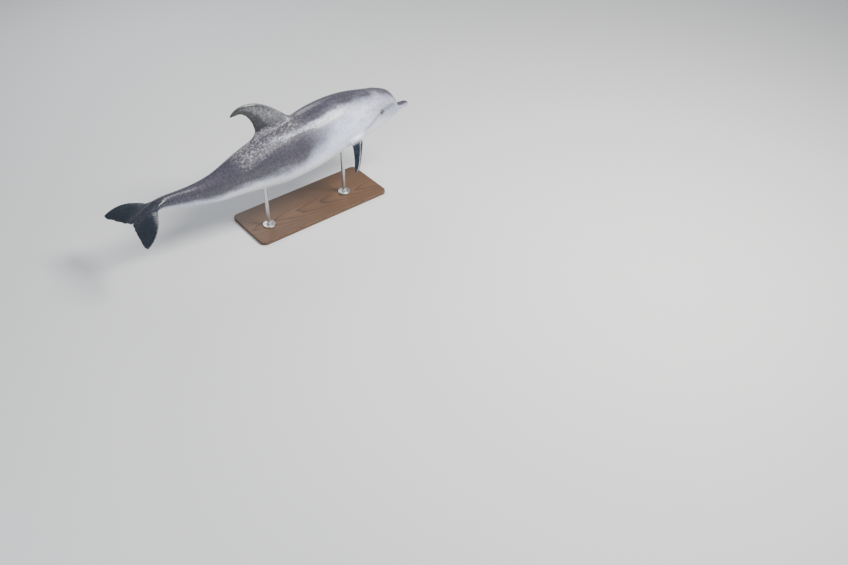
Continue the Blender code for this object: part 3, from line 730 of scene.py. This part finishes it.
class Wire:  # one socket, so that shader maths reads as plain expressions
    def __init__(self, shader, socket):
        self.shader, self.socket = shader, socket

    def maths(self, operation, *others, turned=False):
        values = (others[0], self) if turned else (self, *others)
        return self.shader.node("ShaderNodeMath", {"operation": operation}, dict(enumerate(values)))

    def __add__(self, other):
        return self.maths("ADD", other)

    def __sub__(self, other):
        return self.maths("SUBTRACT", other)

    def __rsub__(self, other):
        return self.maths("SUBTRACT", other, turned=True)

    def __mul__(self, other):
        return self.maths("MULTIPLY", other)

    def __truediv__(self, other):
        return self.maths("DIVIDE", other)

    def __rtruediv__(self, other):
        return self.maths("DIVIDE", other, turned=True)

    def __pow__(self, other):
        return self.maths("POWER", other)

    __radd__, __rmul__ = __add__, __mul__

    def __abs__(self):
        return self.maths("ABSOLUTE")

    def upper(self, other):
        return self.maths("MAXIMUM", other)

    def rise(self, low, high):  # 0 at low to 1 at high, eased; low may be the greater
        sockets = {"Value": self, "From Min": low, "From Max": high}
        return self.shader.node("ShaderNodeMapRange", {"interpolation_type": "SMOOTHSTEP"}, sockets)

    def band(self, middle, half, soft):  # 1 within half of middle, falling to 0 over soft
        return abs(self - middle).rise(half + soft, half)


class Shader:
    def __init__(self, name, **constants):
        self.material = bpy.data.materials.new(name)
        self.material.use_nodes = True
        self.tree = self.material.node_tree
        self.tree.nodes.clear()
        self.end = self.tree.nodes.new("ShaderNodeOutputMaterial")
        self.surface = self.tree.nodes.new("ShaderNodeBsdfPrincipled")
        self.tree.links.new(self.surface.outputs[0], self.end.inputs["Surface"])
        self.colour = None
        for key, value in constants.items():
            self.surface.inputs[key.replace("_", " ")].default_value = value

    def node(self, kind, settings, sockets, out=0):
        made = self.tree.nodes.new(kind)
        for key, value in settings.items():
            if key == "stops":
                stops = made.color_ramp.elements
                for k, (place, shade) in enumerate(value):
                    stop = stops[k] if k < 2 else stops.new(place)
                    stop.position, stop.color = place, (shade, shade, shade, 1)
            elif key == "easing":
                made.color_ramp.interpolation = value
            else:
                setattr(made, key, value)
        for key, value in sockets.items():
            if isinstance(value, Wire):
                self.tree.links.new(value.socket, made.inputs[key])
            else:
                made.inputs[key].default_value = value
        return Wire(self, made.outputs[out])

    def attribute(self, name):
        return self.node("ShaderNodeAttribute", {"attribute_name": name}, {}, out=1)

    def split(self, vector):
        made = self.node("ShaderNodeSeparateXYZ", {}, {0: vector})
        return [Wire(self, made.socket.node.outputs[k]) for k in range(3)]

    def noise(self, place, scale, detail=3.0, rough=0.55, twirl=0.0):
        sockets = {"Vector": place, "Scale": scale, "Detail": detail}
        sockets |= {"Roughness": rough, "Distortion": twirl}
        return self.node("ShaderNodeTexNoise", {}, sockets)

    def cells(self, place, scale):  # how far it is to the nearest of some scattered points
        return self.node("ShaderNodeTexVoronoi", {}, {"Vector": place, "Scale": scale})

    def stretch(self, place, factors, shift=(0, 0, 0)):
        sockets = {0: place, 1: factors, 2: shift}
        return self.node("ShaderNodeVectorMath", {"operation": "MULTIPLY_ADD"}, sockets)

    def profile(self, at, knots, reach=105.0, top=180.0):  # a smooth curve through (place, value) knots
        stops = [(place / reach, value / top) for place, value in knots]
        ramp = self.node("ShaderNodeValToRGB", {"stops": stops, "easing": "EASE"}, {0: at / reach})
        return ramp * top

    def blend(self, amount, one, two, how="MIX"):
        settings = {"data_type": "RGBA", "blend_type": how, "clamp_factor": True}
        return self.node("ShaderNodeMix", settings, {0: amount, 6: one, 7: two}, out=2)

    def paint(self, amount, shade, how="MIX"):  # lays a shade over the colour so far
        self.colour = self.blend(amount, self.colour, shade, how)

    def blendValue(self, amount, one, two):
        return self.node("ShaderNodeMix", {"data_type": "FLOAT"}, {0: amount, 2: one, 3: two})

    def bump(self, height, distance, strength=1.0, under=None):
        sockets = {"Height": height, "Distance": distance, "Strength": strength}
        if under is not None:
            sockets["Normal"] = under
        return self.node("ShaderNodeBump", {}, sockets)

    def finish(self, **links):  # links the colour so far, and what else is given
        for key, wire in {"Base_Color": self.colour, **links}.items():
            self.tree.links.new(wire.socket, self.surface.inputs[key.replace("_", " ")])
        return self.material


skinLook = {
    "cape": (0.056, 0.052, 0.071, 1),
    "capeLight": (0.125, 0.120, 0.155, 1),
    "flank": (0.062, 0.059, 0.078, 1),
    "pale": (0.62, 0.67, 0.83, 1),
    "face": (0.19, 0.192, 0.235, 1),
    "belly": (0.84, 0.83, 0.86, 1),
    "fin": (0.034, 0.034, 0.040, 1),
    "finLight": (0.215, 0.22, 0.238, 1),
    "slate": (0.012, 0.018, 0.029, 1),
    "dark": (0.012, 0.011, 0.014, 1),
    "scar": (0.46, 0.47, 0.52, 1),
    # lines in degrees down from the back: below the cape, down the pale streak, above the pale underside
    "capeEdge": (
        (0, 62), (5, 58), (9, 50), (14, 45), (20, 47), (30, 49), (40, 47), (50, 44), (62, 60), (80, 74),
        (100, 90),
    ),
    "streakLine": ((0, 40), (18, 44), (28, 45), (40, 47), (50, 42), (56, 34), (100, 30)),
    "paleEdge": (
        (0, 78), (6, 76), (11, 70), (20, 64), (30, 69), (40, 96), (50, 116), (62, 119), (78, 123),
        (100, 130),
    ),
    # the wet back, the stripe from the eye to the flipper, and the one from the beak to the eye
    "wetEdge": ((0, 42), (38, 46), (45, 50), (50, 54), (57, 61), (62, 66), (100, 70)),
    "eyeStripe": ((0, 84), (13, 84), (23, 118), (100, 118)),
    "beakStripe": ((0, 60), (6, 66), (14, 80), (100, 80)),
    # how strongly marks show, and how strongly the painted glints of the wet film show
    "scratched": 0.22, "scarred": 0.14, "mottled": 0.4, "freckled": 0.3, "paintedGlints": 0.6,
    "roughness": 0.27, "coat": 0.08,
    # bumps: (height in metres, strength)
    "grain": (0.0004, 0.2), "swell": (0.006, 0.3), "ripple": (0.003, 0.25), "drop": (0.009, 0.75),
    "scratch": (0.0006, -0.4),
}


def makeSkinShader():
    look = skinLook
    shader = Shader("wetSkin", Coat_Roughness=0.11, IOR=1.4)
    paint = shader.paint
    place = shader.attribute("straight")
    along, turn, _ = shader.split(shader.attribute("wrap"))
    dorsal, flipper, fluke = shader.split(shader.attribute("spans"))
    share, fromEye, fromMouth = shader.split(shader.attribute("marks"))
    fromBlow, underFin, fromEar = shader.split(shader.attribute("marks2"))

    broad = shader.noise(place, 0.16, 3.0)
    middling = shader.noise(place, 0.62, 4.0, 0.6)
    small = shader.noise(place, 2.6, 4.0, 0.65)
    soft = shader.noise(place, 1.3, 2.0, 0.5)
    drawnOut = shader.noise(shader.stretch(place, (0.3, 1.0, 1.0)), 0.55, 4.0, 0.6)
    flecked = small.rise(0.36, 0.62)
    wavyTurn = turn + (broad - 0.5) * 22 + (drawnOut - 0.5) * 17

    # the body: flank, cape, pale side, belly and the streak up to the head
    belowCape = wavyTurn - shader.profile(along, look["capeEdge"])
    cape = shader.blendValue(along.rise(44, 34), belowCape.rise(11, -9), belowCape.rise(24, -20))
    lightness = along.rise(22, 10) * 0.35 + (middling - 0.5) * 0.4
    capeColour = shader.blend(lightness, look["cape"], look["capeLight"])
    flankColour = shader.blend(along.rise(22, 45), look["pale"], look["flank"])
    shader.colour = shader.blend(cape, flankColour, capeColour)
    pale = (wavyTurn - shader.profile(along, look["paleEdge"])).rise(-20, 22)
    paint(pale * 0.94, look["pale"])
    clouded = drawnOut.rise(0.44, 0.64) * wavyTurn.rise(118, 84) * along.rise(50, 38)
    paint(clouded * 0.3, look["capeLight"])
    belly = wavyTurn.rise(112, 138) * along.rise(78, 66)
    paint(belly * 0.8, look["belly"])
    # the pale streak up to the head: a pale band of the skin's own, and in it pale flecks that are painted
    # glints of the wet skin
    streakFar = abs(wavyTurn - shader.profile(along, look["streakLine"]))
    streak = streakFar.rise(8.5, 1.0) * along.rise(22, 34) * along.rise(57, 47)
    paint(streak * (0.1 + flecked * 0.65), look["pale"])
    face = along.rise(25, 10) * wavyTurn.rise(124, 88)
    paint(face * 0.7 * (1 - cape), look["face"])

    # the crown: a pale patch beside the blowhole, and dark lines from it to the melon's foot
    crownPatch = along.band(14.2, 0.6, 1.6) * turn.band(34, 8, 12)
    paint(crownPatch * 0.15, look["pale"])
    crownLine = turn.band(15, 1.5, 5) * along.rise(6.5, 8) * along.rise(13, 11)
    paint(crownLine * 0.35, look["cape"])

    # the beak: dark above, pale lips and chin
    beakTop = along.rise(7.0, 5.6) * wavyTurn.rise(78, 44)
    paint(beakTop * 0.75, look["cape"])
    lips = fromMouth.rise(7.5, 3.5) * along.rise(12.6, 11.5)
    paint(lips * 0.35, look["belly"])
    lipLine = fromMouth.rise(2.6, 0.8) * along.rise(12.35, 11.9)
    paint(lipLine * 0.85, look["dark"])

    # the soft stripes behind and in front of the eye, and the rims of the eye, blowhole and ear
    stripe = abs(turn - shader.profile(along, look["eyeStripe"])).rise(9, 2)
    paint(stripe * along.rise(13, 15) * along.rise(24, 20) * 0.42, look["flank"])
    stripe = abs(turn - shader.profile(along, look["beakStripe"])).rise(9, 2)
    paint(stripe * along.rise(6.2, 8) * along.rise(14.5, 13) * 0.4, look["flank"])
    paint(fromEye.rise(24, 7) * 0.75, look["cape"])
    paint(fromEye.rise(3.2, 1.0) * 0.9, look["dark"])
    paint(fromBlow.rise(9, 2) * 0.5, look["cape"])
    paint(fromBlow.rise(2.4, 0.8) * 0.9, look["dark"])
    paint(fromEar.rise(3.4, 1.2) * 0.8, look["dark"])

    # dorsal fin: pale middle and leading rim, dark trailing edge, black tip
    onDorsal = dorsal.rise(0.0, 0.16)
    paint(onDorsal, look["fin"])
    uneven = (middling - 0.5) * 0.5
    # how strongly the fin's pale patch and pale foot show, varying over the fin
    palePatchAmount = 0.28 + soft.rise(0.38, 0.62) * 0.28 + flecked * 0.12
    patch = (share + uneven * 0.6).band(0.40, 0.10, 0.2)
    patch = patch * (dorsal + uneven * 0.5).band(0.46, 0.16, 0.26)
    paint(patch * palePatchAmount, look["finLight"])
    foot = (share + uneven * 0.3).rise(0.62, 0.2) * (dorsal + uneven * 0.3).rise(0.6, 0.15)
    paint(foot * onDorsal * palePatchAmount, look["finLight"])
    rim = share.rise(0.075, 0.01) * dorsal.rise(0.05, 0.3)
    paint(rim * 0.75, look["finLight"])
    paint((share + uneven * 0.3).rise(0.8, 1.0) * onDorsal * 0.7, look["dark"])
    paint((dorsal + uneven * 0.05).rise(0.9, 0.985) * share.rise(0.15, 0.7), look["dark"])

    # flippers and flukes: slate, with a fine pale leading rim and darker edges
    paired = flipper + fluke
    onPaired = paired.rise(0.0, 0.2)
    lighter = shader.blend(underFin * 0.55, look["slate"], look["flank"])
    paint(onPaired, shader.blend(middling.rise(0.5, 0.75) * 0.35, lighter, look["flank"]))
    paint(along.rise(84, 93) * turn.rise(140, 90) * 0.6, look["slate"])
    rim = share.rise(0.05, 0.0) * paired.rise(0.06, 0.3)
    paint(rim * 0.55, look["finLight"])
    paint((share + uneven * 0.2).rise(0.85, 1.0) * onPaired * 0.6, look["dark"])

    # old scratches, small round scars, mottling and freckles
    tilted = shader.stretch(place, (0.13, 1.5, 2.1))
    scratches = shader.noise(tilted, 1.6, 2.0, 0.5, 0.5).rise(0.71, 0.76)
    tilted = shader.stretch(place, (0.9, 0.35, 3.0), (3.0, 7.0, 1.0))
    scratches = scratches.upper(shader.noise(tilted, 1.5, 1.0, 0.5, 0.3).rise(0.745, 0.78))
    scratches = scratches * shader.noise(place, 0.25, 2.0).rise(0.45, 0.6)
    paint(scratches * look["scratched"], look["scar"])
    rings = shader.cells(place, 0.4).rise(0.13, 0.09) * shader.noise(place, 0.7, 0.0).rise(0.58, 0.66)
    paint(rings * look["scarred"], look["scar"])
    mottle = (soft * 0.55 + small * 0.45 - 0.5) * 1.5 + 0.5
    paint(look["mottled"], mottle, "OVERLAY")
    freckles = shader.cells(place, 3.1).rise(0.2, 0.1) * shader.noise(place, 0.8, 1.0).rise(0.5, 0.62)
    paint(freckles * look["freckled"] * (1 - onDorsal), look["cape"])

    # the broken film of water behind the blowhole and below the fin: pale flecks in its colour are painted
    # glints, and a slight lightening of the whole zone is painted sheen; its drops also bump the skin and lower
    # the roughness there
    wetFar = wavyTurn - shader.profile(along, look["wetEdge"])
    wetZone = along.rise(37, 46) * along.rise(68, 61) * wetFar.rise(7, -7) * (1 - onDorsal)
    wetZone = wetZone.upper(streak * 0.8)
    drawn = shader.stretch(place, (0.6, 1.0, 1.0))
    coarse, fine = shader.noise(drawn, 2.1, 3.0, 0.6, 0.4), shader.noise(drawn, 5.5, 3.0, 0.7, 0.5)
    drops = coarse * 0.62 + fine * 0.38
    paintedGlint = drops.rise(0.48, 0.70) * wetZone
    # painted glints and painted sheen: pale flecks and a slight lift laid into the wet zone's colour
    paint(wetZone * 0.02 + paintedGlint * look["paintedGlints"], look["belly"])

    film = shader.noise(place, 1.3, 4.0, 0.6)
    roughness = look["roughness"] + (film - 0.5) * 0.22 + lipLine * 0.1 - paintedGlint * 0.15
    coat = look["coat"] + film.rise(0.35, 0.65) * 0.2
    heights = {
        "grain": shader.noise(place, 14.0, 3.0, 0.6), "swell": middling,
        "ripple": soft * 0.7 + small * 0.3, "drop": drops * wetZone, "scratch": scratches,
    }
    bump = None
    for name, height in heights.items():
        bump = shader.bump(height, *look[name], bump)
    return shader.finish(Roughness=roughness, Coat_Weight=coat, Normal=bump)


def makeSkin():
    mesh, roots = straightSkin()
    writePoints(mesh, softenRoots(mesh, readPoints(mesh), roots))
    refineHead(mesh)
    points = readPoints(mesh)
    spans = readValues(mesh.attributes["spans"].data, "vector", 3)
    share = readValues(mesh.attributes["share"].data, "value", 1)[:, 0]
    onBody = 1 - smoothStep(spans.max(1), 0.0, 0.16)
    _, out = skinAngle(points)
    points = gatherPoints(points, (onBody == 1) & (np.abs(out - 1) < 0.1))
    writePoints(mesh, points)
    normals = readNormals(mesh)
    straight = points.copy()
    angle, out = skinAngle(straight)
    points = carveSkin(points, normals, onBody)
    points = notchFins(points, spans, share)
    rims = [eyeDistances(straight, side)[0] for side in (1, -1)]
    points = openEyes(points, normals, onBody)
    fromMouth = np.abs(straight[:, 2] - line["mouth"](straight[:, 0])) / mm
    fromBlow, _ = blowholeDistance(straight)
    ears = [earDistance(straight, side) for side in (1, -1)]
    under = np.where(normals[:, 2] < 0, 1.0, 0.0)
    writeAttribute(mesh, "straight", straight)
    writeAttribute(mesh, "wrap", np.stack([straight[:, 0], np.abs(np.degrees(angle)), out], 1))
    writeAttribute(mesh, "marks", np.stack([share, np.minimum(*rims), fromMouth], 1))
    writeAttribute(mesh, "marks2", np.stack([fromBlow, under, np.minimum(*ears)], 1))
    writePoints(mesh, posed(points))
    mesh.flip_normals()    # the way from straight to posed mirrors, so the faces turn inside out
    mesh.shade_smooth()
    mesh.materials.append(makeSkinShader())
    skin = addObject("skin", mesh)
    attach(skin, "root")
    flesh = ("head", "upper_beak", "lower_jaw", "trunk", "tail_stock", "dorsal_fin")
    paired = ("flipper_left", "flipper_right", "fluke_left", "fluke_right")
    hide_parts(*flesh, *paired)
    print("skin:", len(mesh.loops) - 2 * len(mesh.polygons), "triangles")


makeSkin()


eye = {
    "iris": 9.2, "cornea": 1.1, "corneaWide": 6.5, "pupilWide": 6.4, "pupilHigh": 2.3,
    "inset": 0.25, "forward": 0.06, "rings": 40, "segments": 64,
    "brown": (0.060, 0.030, 0.016, 1), "amber": (0.16, 0.085, 0.04, 1),
    "black": (0.004, 0.004, 0.005, 1), "white": (0.085, 0.066, 0.060, 1),
}


def makeEyeShader():
    shader = Shader("wetEye", Coat_Weight=1.0, Coat_Roughness=0.02, IOR=1.38)
    spotOn = shader.attribute("look")
    side, up, _ = shader.split(spotOn)
    r = (side * side + up * up) ** 0.5
    streaks = shader.noise(shader.stretch(spotOn, (1.6, 1.6, 0.2)), 1.1, 4.0, 0.7, 1.2)
    iris = shader.blend(streaks.rise(0.35, 0.75), eye["brown"], eye["amber"])
    iris = shader.blend(r.rise(eye["iris"] * 0.7, eye["iris"]) * 0.7, iris, eye["black"])
    veins = shader.noise(spotOn, 0.9, 5.0, 0.7, 2.0).rise(0.5, 0.72)
    shader.colour = shader.blend(veins * 0.5, eye["white"], eye["brown"])
    shader.paint(r.rise(eye["iris"] + 0.5, eye["iris"]), iris)
    # the pupil is a wide crescent, sagging round a small lobe at its top
    sag = up + side * side * 0.035 - 0.4
    pupil = (abs(side) / eye["pupilWide"]) ** 2 + (abs(sag) / eye["pupilHigh"]) ** 2
    shader.paint(pupil.rise(1.15, 0.9), eye["black"])
    return shader.finish(Roughness=0.12 + veins * 0.08, Normal=shader.bump(veins, 0.0003, 0.15))


def makeEye(side, word, material):
    low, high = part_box("eye_" + word)
    centre = (low + high) / 2
    here, ahead = (
        Vector(posed(spot(head["eyeAlong"] - step, side * head["eyeTurn"])[None])[0]) for step in (0, 1)
    )
    outward = (here - centre).normalized()
    forward = ahead - here
    forward = (forward - outward * forward.dot(outward)).normalized()
    outward = (outward + forward * eye["forward"]).normalized()
    forward = (forward - outward * forward.dot(outward)).normalized()
    upward = outward.cross(forward) * side
    radius = head["eyeBall"]
    bm = bmesh.new()
    look = bm.verts.layers.float_vector.new("look")
    bmesh.ops.create_uvsphere(bm, u_segments=eye["segments"], v_segments=eye["rings"], radius=radius)
    # a new ball's faces come in another order each run, so they are sorted by where they are
    bm.faces.sort(key=lambda face: face.calc_center_median().dot(Vector((1, 3.7, 17.3))))
    for vertex in bm.verts:
        p = vertex.co.copy()
        r = math.hypot(p.x, p.y)
        vertex[look] = p
        bulge = eye["cornea"] * math.exp(-((r / eye["corneaWide"]) ** 4)) if p.z > 0 else 0
        p *= 1 + (bulge - eye["inset"]) / radius
        vertex.co = (forward * p.x + upward * p.y + outward * p.z) / 1000
    bm.normal_update()    # so that the next line starts from where the faces are now
    bmesh.ops.recalc_face_normals(bm, faces=bm.faces)
    mesh = meshFrom(bm, "eyeball_" + word)
    mesh.shade_smooth()
    mesh.materials.append(material)
    ball = addObject("eyeball_" + word, mesh)
    ball.location = centre
    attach(ball, "root")
    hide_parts("eye_" + word)


eyeShader = makeEyeShader()
makeEye(1, "left", eyeShader)
makeEye(-1, "right", eyeShader)
print("eyes: two, with irises and pupils")


stand = {
    # the rods, with their flange and collar; into is how far they run on into the skin
    "rod": 0.016, "flange": 0.052, "flangeHigh": 0.010, "flangeEdge": 0.003, "bevel": 0.001,
    "collar": 0.024, "collarHigh": 0.028, "collarEdge": 0.002, "fillet": 0.003, "filletMiddle": 0.0008,
    "into": 0.012, "segments": 64,
    # the screws, with a round socket of (radius at its top, at its floor)
    "screws": 3, "screwCircle": 0.038, "screwTurn": 0.25, "screwHead": 0.0055, "screwHigh": 0.0032,
    "screwSunk": 0.0006, "socket": (0.0022, 0.0021), "socketFloor": 0.0004, "screwSegments": 24,
    # growth rings round a tree's middle that lies beside and under the board, and leans across it
    "ringsPerMetre": 62, "treeMiddle": (0.06, 0.11), "treeLean": (0.05, -0.09),
    "woodDark": (0.050, 0.024, 0.012, 1), "woodLight": (0.135, 0.070, 0.034, 1),
    "steel": (0.60, 0.60, 0.59, 1), "steelDark": (0.34, 0.34, 0.34, 1),
}


def makeWoodShader():
    shader = Shader("oiledWalnut", Coat_Weight=0.1, Coat_Roughness=0.25)
    place = shader.node("ShaderNodeTexCoord", {}, {}, out=3)
    bend = shader.noise(shader.stretch(place, (1.1, 5.0, 5.0)), 1.0, 3.0)
    x, y, z = shader.split(place)
    (beside, under), (leanSide, leanUp) = stand["treeMiddle"], stand["treeLean"]
    fromMiddle = ((y + x * leanSide + beside) ** 2 + (z + x * leanUp + under) ** 2) ** 0.5
    ring = (fromMiddle * stand["ringsPerMetre"] + bend * 2.6).maths("FRACT")
    lateWood = ring ** 4 * ring.rise(1.0, 0.93)
    fibre = shader.noise(shader.stretch(place, (6.0, 260.0, 260.0)), 1.0, 4.0, 0.7)
    pores = shader.noise(shader.stretch(place, (22.0, 700.0, 700.0)), 1.0, 2.0, 0.6).rise(0.6, 0.7)
    cloud = shader.noise(shader.stretch(place, (1.3, 9.0, 9.0)), 1.2, 3.0)
    tone = 0.22 + fibre * 0.5 + cloud * 0.5 - lateWood * 0.75 - ring * 0.12
    shader.colour = shader.blend(tone, stand["woodDark"], stand["woodLight"])
    shader.paint(pores * 0.6, stand["woodDark"])
    roughness = 0.46 + fibre * 0.16 + pores * 0.1
    bump = shader.bump(fibre - pores * 0.8, 0.0008, 0.25)
    return shader.finish(Roughness=roughness, Normal=bump)


def makeSteelShader():
    shader = Shader("brushedSteel", Metallic=1.0)
    place = shader.node("ShaderNodeTexCoord", {}, {}, out=3)
    brushed = shader.noise(shader.stretch(place, (40.0, 40.0, 2200.0)), 1.0, 3.0, 0.7)
    smears = shader.noise(place, 26.0, 4.0, 0.6)
    dull = brushed.rise(0.3, 0.75) * 0.35 + smears.rise(0.45, 0.7) * 0.25
    shader.colour = shader.blend(dull, stand["steel"], stand["steelDark"])
    roughness = 0.24 + brushed * 0.14 + smears * 0.1
    return shader.finish(Roughness=roughness, Normal=shader.bump(brushed, 0.0002, 0.2))


def addPiece(name, bm, material):
    bmesh.ops.recalc_face_normals(bm, faces=bm.faces)
    mesh = meshFrom(bm, name)
    mesh.shade_smooth()
    mesh.set_sharp_from_angle(angle=math.radians(35))
    mesh.materials.append(material)
    piece = addObject(name, mesh)
    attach(piece, "root")
    return piece


# a turned profile of (radius, height), round a vertical axis
def turned(bm, profile, centre, segments):
    rings = []
    for k in range(segments):
        x, y = math.cos(2 * math.pi * k / segments), math.sin(2 * math.pi * k / segments)
        rings.append([bm.verts.new((centre[0] + r * x, centre[1] + r * y, z)) for r, z in profile])
    for k in range(segments):
        one, two = rings[k], rings[(k + 1) % segments]
        for i in range(len(profile) - 1):
            bm.faces.new((one[i], two[i], two[i + 1], one[i + 1]))
    for end in (0, -1):
        bm.faces.new([ring[end] for ring in rings])


# points on a quarter arc, from its foot at (radius + wide, high) upwards
def quarterArc(radius, high, wide, tall, steps, count):
    angles = (math.pi / 2 * k / steps for k in range(count))
    return [(radius + wide * math.cos(angle), high + tall * math.sin(angle)) for angle in angles]


def roundedStep(outer, inner, low, high, edge):  # a disc's side and top, with an eased upper edge
    return [(outer, low), *quarterArc(outer - edge, high - edge, edge, edge, 5, 6), (inner, high)]


def makeRod(word, steel):
    low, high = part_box("stand_rod_" + word)
    centre = ((low.x + high.x) / 2, (low.y + high.y) / 2)
    s = stand
    foot, step, top = low.z, low.z + s["flangeHigh"], low.z + s["collarHigh"]
    profile = [
        (s["flange"] - s["bevel"], foot),
        *roundedStep(s["flange"], s["collar"] + s["fillet"], foot + s["bevel"], step, s["flangeEdge"]),
        (s["collar"] + s["filletMiddle"], step + s["filletMiddle"]),
        *roundedStep(s["collar"], s["rod"], step + s["fillet"], top, s["collarEdge"]),
        (s["rod"], high.z + s["into"]),
    ]
    bm = bmesh.new()
    turned(bm, profile, centre, s["segments"])
    rod = addPiece("rod_" + word, bm, steel)
    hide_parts("stand_rod_" + word)
    dome = quarterArc(0, step - s["screwSunk"], s["screwHead"], s["screwHigh"], 6, 5)
    upper, lower = s["socket"]
    dome += [(upper, dome[-1][1]), (lower, step + s["socketFloor"])]
    bm = bmesh.new()
    for k in range(s["screws"]):
        angle, out = 2 * math.pi * (k + s["screwTurn"]) / s["screws"], s["screwCircle"]
        at = (centre[0] + out * math.cos(angle), centre[1] + out * math.sin(angle))
        turned(bm, dome, at, s["screwSegments"])
    addPiece("screws_" + word, bm, steel)


steel = makeSteelShader()
for word in ("front", "rear"):
    makeRod(word, steel)
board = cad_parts["stand_base"]    # the board itself is carried over from the solids
wood = makeWoodShader()
if not board.data.materials:
    board.data.materials.append(wood)
for place in board.material_slots:
    place.material = wood
print("stand: board, two rods and their screws")


studio = {
    "floor": (0.70, 0.705, 0.71, 1), "floorCloud": (0.65, 0.655, 0.66, 1), "floorSize": 60,
    "world": (0.86, 0.92, 1.0, 1), "worldStrength": 0.38,
    # lights: name, energy, size, place, colour
    "lights": (
        ("key", 760, 2.6, (2.4, -3.2, 5.2), (1.0, 0.97, 0.93)),
        ("fill", 110, 4.5, (-4.5, -3.0, 3.4), (0.90, 0.95, 1.0)),
        ("rim", 100, 3.4, (0.5, 4.6, 3.6), (0.95, 0.97, 1.0)),
    ),
}
camera = {
    "heading": 38.5, "down": 39.3, "distance": 8.19, "lens": 42.452831, "sensor": 36, "far": 200,
    # where the animal's middle is seen, as slopes from the view's axis
    "right": -0.1306, "up": 0.1347,
}


def makeFloor():
    half = studio["floorSize"] / 2
    bm = bmesh.new()
    corners = ((-half, -half, 0), (half, -half, 0), (half, half, 0), (-half, half, 0))
    bm.faces.new([bm.verts.new(corner) for corner in corners])
    mesh = meshFrom(bm, "floor")
    shader = Shader("paleFloor")
    place = shader.node("ShaderNodeTexCoord", {}, {}, out=3)
    cloud = shader.noise(place, 0.6, 3.0)
    shader.colour = shader.blend(cloud * 0.2, studio["floor"], studio["floorCloud"])
    mesh.materials.append(shader.finish(Roughness=0.55 + cloud * 0.1))
    floor = addObject("floor", mesh)


def makeLights():
    world = bpy.data.worlds.new("studio")
    world.use_nodes = True
    background = world.node_tree.nodes["Background"]
    background.inputs["Color"].default_value = studio["world"]
    background.inputs["Strength"].default_value = studio["worldStrength"]
    bpy.context.scene.world = world
    for name, energy, size, place, colour in studio["lights"]:
        light = bpy.data.lights.new(name, "AREA")
        light.energy, light.size, light.color, light.shape = energy, size, colour, "DISK"
        lamp = addObject(name, light)
        lamp.location = place
        lamp.rotation_euler = (pose["place"] - Vector(place)).to_track_quat("-Z", "Y").to_euler()


def makeCamera():
    heading, down = math.radians(camera["heading"]), math.radians(camera["down"])
    level = Vector((math.sin(heading), math.cos(heading), 0))
    right = Vector((math.cos(heading), -math.sin(heading), 0))
    ahead = level * math.cos(down) - Vector((0, 0, math.sin(down)))
    up = right.cross(ahead)
    ray = (ahead + right * camera["right"] + up * camera["up"]).normalized()
    lens = bpy.data.cameras.new("camera")
    lens.lens, lens.sensor_width, lens.clip_end = camera["lens"], camera["sensor"], camera["far"]
    eyepiece = addObject("camera", lens)
    axes = Matrix((right, up, -ahead)).transposed().to_4x4()
    eyepiece.matrix_world = Matrix.Translation(pose["place"] - ray * camera["distance"]) @ axes
    bpy.context.scene.camera = eyepiece


makeFloor()
makeLights()
makeCamera()
print("studio: floor, lights and camera")
